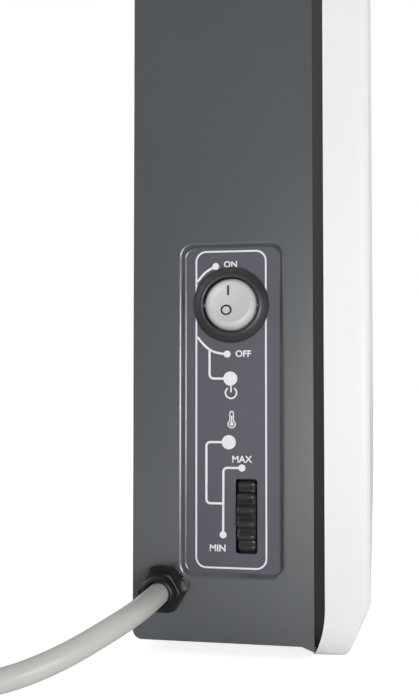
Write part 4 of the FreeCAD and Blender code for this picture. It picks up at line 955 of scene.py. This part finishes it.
def placed_print(piece):
    """Puts a flat print, drawn to the right and up from the switch's centre, on the foil."""
    put(piece, (PRINT_X, CONTROL_Y, SWITCH_Z), READ_FROM_THE_END)
    return piece


def printed_outline():
    """The rounded frame of the legend: a plane with rounded corners, inset and opened in its middle."""
    deselect()
    wide = 22.4
    tall = 98.5
    centre = at(-0.1, -32.25, 0)
    bpy.ops.mesh.primitive_plane_add(size=MM, location=centre)
    outline = open_piece("legend_outline")
    bpy.ops.mesh.select_all(action="SELECT")
    bpy.ops.transform.resize(value=(wide, tall, 1), center_override=centre)
    bpy.ops.mesh.bevel(offset=3.4 * MM, segments=12, affect="VERTICES")
    bpy.ops.mesh.select_mode(type="FACE")
    bpy.ops.mesh.select_all(action="SELECT")
    bpy.ops.mesh.inset(thickness=0.55 * MM)
    bpy.ops.mesh.delete(type="FACE")
    bpy.ops.mesh.select_all(action="SELECT")
    bpy.ops.mesh.extrude_region_move(TRANSFORM_OT_translate={"value": at(0, 0, PRINT_THICK)})
    settle()
    return placed_print(outline)


def printed_line(points, wide):
    """A printed line through its points, with rounded corners."""
    data = bpy.data.curves.new("legend_line", "CURVE")
    data.dimensions = "3D"
    line = data.splines.new("NURBS")
    line.points.add(len(points) - 1)
    for point, (right, up) in zip(line.points, points):
        point.co = (*at(right, up, 0), 1)
    line.order_u = 3
    line.use_endpoint_u = True
    line.resolution_u = 8
    data.bevel_depth = wide / 2 * MM
    data.bevel_resolution = 3
    data.use_fill_caps = True
    drawn = bpy.data.objects.new("legend_line", data)
    bpy.context.scene.collection.objects.link(drawn)
    only(drawn)
    bpy.ops.object.convert(target="MESH")
    bpy.ops.object.mode_set(mode="EDIT")
    bpy.ops.mesh.select_all(action="SELECT")
    bpy.ops.transform.resize(value=(1, 1, PRINT_THICK / wide * 2), center_override=(0, 0, 0))
    settle()
    return placed_print(drawn)


def printed_dot(right, up, wide):
    """A printed dot: a thin disc with a soft edge."""
    dot = rod("legend_dot", (right, up, 0), "z", wide / 2, PRINT_THICK, sides=48)
    choose(dot, "FACE", lambda face: face.normal.z > 0.9)
    bpy.ops.mesh.inset(thickness=0.04 * MM)
    settle()
    return placed_print(dot)


def printed_word(word, right, up, size):
    """A plain printed word, centred on its place."""
    deselect()
    bpy.ops.object.text_add()
    text = bpy.context.active_object
    text.data.body = word
    text.data.size = size * MM
    text.data.extrude = PRINT_THICK / 2 * MM
    text.data.offset = 0.07 * MM
    text.data.align_x = "CENTER"
    text.data.align_y = "CENTER"
    bpy.ops.object.convert(target="MESH")
    text.location = at(right, up, PRINT_THICK / 2)
    bpy.ops.object.transform_apply(location=True, rotation=True, scale=True)
    return placed_print(text)


def arc(right, up, radius, start, stop, steps):
    """Points round a centre, from one angle to another in degrees, anticlockwise from the right."""
    angles = [math.radians(start + (stop - start) * step / steps) for step in range(steps + 1)]
    return [(right + radius * math.cos(angle), up + radius * math.sin(angle)) for angle in angles]


def printed_legend():
    """Everything that is printed in white on the foil, in one piece."""
    thick = 0.7
    sign = 0.5
    fine = 0.38
    lines = [
        (thick, [(-10.7, 7.4), (-9.0, 9.6), (-7.0, 11.2), (-4.9, 12.1)]),
        (thick, [(-10.7, -9.9), (-8.8, -12.4), (-6.0, -14.5), (-3.6, -15.1), (-1.3, -15.3)]),
        (thick, [(-6.85, -13.6), (-6.85, -19.6), (-6.85, -22.9), (-3.6, -22.9), (-0.3, -22.9)]),
        (
            thick,
            [
                (-0.8, -42.6),
                (-5.0, -42.6),
                (-7.85, -42.6),
                (-7.85, -45.6),
                (-7.85, -58.6),
                (-7.85, -61.5),
                (-5.0, -61.5),
                (-2.5, -61.5),
            ],
        ),
        (thick, [(3.3, -50.5), (0.4, -50.5), (-2.5, -50.5), (-2.5, -53.4), (-2.6, -71.1)]),
        # The power sign: a broken circle and a bar
        (sign, arc(-0.1, -27.3, 1.75, 55, -235, 18)),
        (sign, [(-0.1, -24.9), (-0.1, -27.2)]),
        # The thermometer sign: a bulb, a rounded top, two sides and the column
        (fine, arc(0.1, -37.0, 1.15, 65, -245, 14)),
        (fine, arc(0.1, -33.6, 0.55, 180, 0, 6)),
        (fine, [(-0.45, -33.6), (-0.45, -36.1)]),
        (fine, [(0.65, -33.6), (0.65, -36.1)]),
        (fine, [(0.1, -34.4), (0.1, -37.0)]),
    ]
    prints = [printed_outline()]
    prints += [printed_line(points, wide) for wide, points in lines]
    small = 2.2
    big = 4.4
    dots = [
        (-4.9, 12.1, small),
        (-1.3, -15.3, small),
        (3.3, -50.5, small),
        (-2.6, -71.1, small),
        (-0.3, -22.9, big),
        (-0.8, -42.6, big),
        (0.1, -37.0, 1.2),
    ]
    prints += [printed_dot(*dot) for dot in dots]
    words = [
        ("ON", -0.2, 12.6, 2.7),
        ("OFF", 3.75, -15.3, 2.8),
        ("MAX", 3.25, -47.9, 2.9),
        ("MIN", -4.3, -75.3, 2.9),
    ]
    prints += [printed_word(*word) for word in words]
    return finish_piece(joined("legend_print", prints), ("panel_white", INK))


legend_foil()
printed_legend()


# Screws on the back


def back_screws():
    """Pan-head self-tapping screws with a cross recess."""
    screw = turned(
        "screw",
        [
            (-6.0, 0.5),
            (-5.2, 1.45),
            (0.0, 1.45),
            (0.0, 2.8),
            (0.7, 2.75),
            (1.2, 2.45),
            (1.55, 1.9),
            (1.75, 1.1),
            (1.8, 0.3),
        ],
        sides=48,
    )
    cap_ends()
    settle()
    for wide, tall in ((1.7, 0.3), (0.3, 1.7)):
        bit = block("bit", (-wide, -tall, 0.75), (wide, tall, 3))
        settle()
        cut_away(screw, bit)
    panel_places = [(x, CASE_BACK, z) for x in (-238, 238) for z in (53.6, 200, 346.4)]
    bracket_places = [(x, BRACKET_FOOT, 143) for x in (-120, 120)]
    for name, places in (("end_panel_screws", panel_places), ("bracket_screws", bracket_places)):
        copies = []
        for place in places:
            twin = copy_of(screw)
            put(twin, place, (math.radians(-90), 0, 0))
            copies.append(twin)
        finish_piece(joined(f"{name}_driven", copies), slot_finish("zinc_steel"), nodes=[name])
    bpy.data.objects.remove(screw)


back_screws()


# Floor, light and surroundings


def white_floor():
    """A sheet of white paper. The camera sees it lifted to the white of the surroundings."""
    deselect()
    bpy.ops.mesh.primitive_plane_add(size=8, location=(0, 0, -0.0002))
    floor = bpy.context.active_object
    floor.name = "studio_floor"
    paper, tree, shader, place = new_finish(
        "white_paper_floor", Roughness=0.9, Emission_Color=(1, 1, 1, 1)
    )
    # The fibres are drawn coarser than the real ones, which are too fine to show.
    fibre = add(tree, "ShaderNodeTexNoise", {"Vector": place, "Scale": per_mm(4), "Detail": 2})
    colour_by(tree, shader, fibre.outputs["Fac"], "#F4F4F4", "#FAFAFA")
    ray = add(tree, "ShaderNodeLightPath", {})
    lift = add(
        tree, "ShaderNodeMath", {0: ray.outputs["Is Camera Ray"], 1: 0.8}, operation="MULTIPLY"
    )
    tree.links.new(lift.outputs[0], shader.inputs["Emission Strength"])
    floor.data.materials.append(paper)


def larger_of(tree, first, second):
    """The larger of two values."""
    return add(tree, "ShaderNodeMath", {0: first, 1: second}, operation="MAXIMUM").outputs[0]


def surroundings():
    """White all round for the camera. The light and reflections that it gives are weaker from the side of
    the control end and the front."""
    world = bpy.data.worlds.new("white_studio")
    bpy.context.scene.world = world
    world.use_nodes = True
    tree = world.node_tree
    tree.nodes.clear()
    ray = add(tree, "ShaderNodeLightPath", {})
    seen = larger_of(tree, ray.outputs["Is Camera Ray"], ray.outputs["Is Transmission Ray"])
    mirrored = larger_of(tree, seen, ray.outputs["Is Glossy Ray"])
    level = add(tree, "ShaderNodeMapRange", {"Value": mirrored, "To Min": 0.4, "To Max": 1.0})
    heading = tree.nodes.new("ShaderNodeTexCoord").outputs["Generated"]
    toward = add(
        tree, "ShaderNodeVectorMath", {0: heading, 1: (0.8, 0.6, 0)}, operation="DOT_PRODUCT"
    )
    backdrop = add(
        tree,
        "ShaderNodeMapRange",
        {
            "Value": toward.outputs["Value"],
            "From Min": -0.3,
            "From Max": 0.7,
            "To Min": 0.25,
            "To Max": 1.0,
        },
    )
    shown = larger_of(tree, backdrop.outputs["Result"], ray.outputs["Is Camera Ray"])
    strength = add(
        tree, "ShaderNodeMath", {0: level.outputs["Result"], 1: shown}, operation="MULTIPLY"
    )
    glow = add(
        tree, "ShaderNodeBackground", {"Color": (1, 1, 1, 1), "Strength": strength.outputs[0]}
    )
    out = tree.nodes.new("ShaderNodeOutputWorld")
    tree.links.new(glow.outputs[0], out.inputs["Surface"])


# Each lamp's name, place, size and power in watts
LAMPS = [
    ("key_lamp", (-0.82, -0.21, 0.01), 0.27, 3.9),
    ("side_lamp", (-0.8, -0.7, 0.06), 0.5, 1.2),
    ("fill_lamp", (-0.9, 1.3, 0.8), 1.2, 3),
    ("front_lamp", (1.1, -1.8, 0.7), 1.9, 15),
    ("top_lamp", (0.1, 0.0, 1.9), 1.4, 5.5),
]
LIT_PLACE = Vector((-0.15, 0, 0.15))


def hang_lamps():
    for name, place, size, power in LAMPS:
        light = bpy.data.lights.new(name, "AREA")
        light.size = size
        light.energy = power
        lamp = bpy.data.objects.new(name, light)
        lamp.location = place
        lamp.rotation_euler = (LIT_PLACE - lamp.location).to_track_quat("-Z", "Y").to_euler()
        bpy.context.scene.collection.objects.link(lamp)


bpy.context.scene.view_settings.view_transform = "Standard"
white_floor()
surroundings()
hang_lamps()
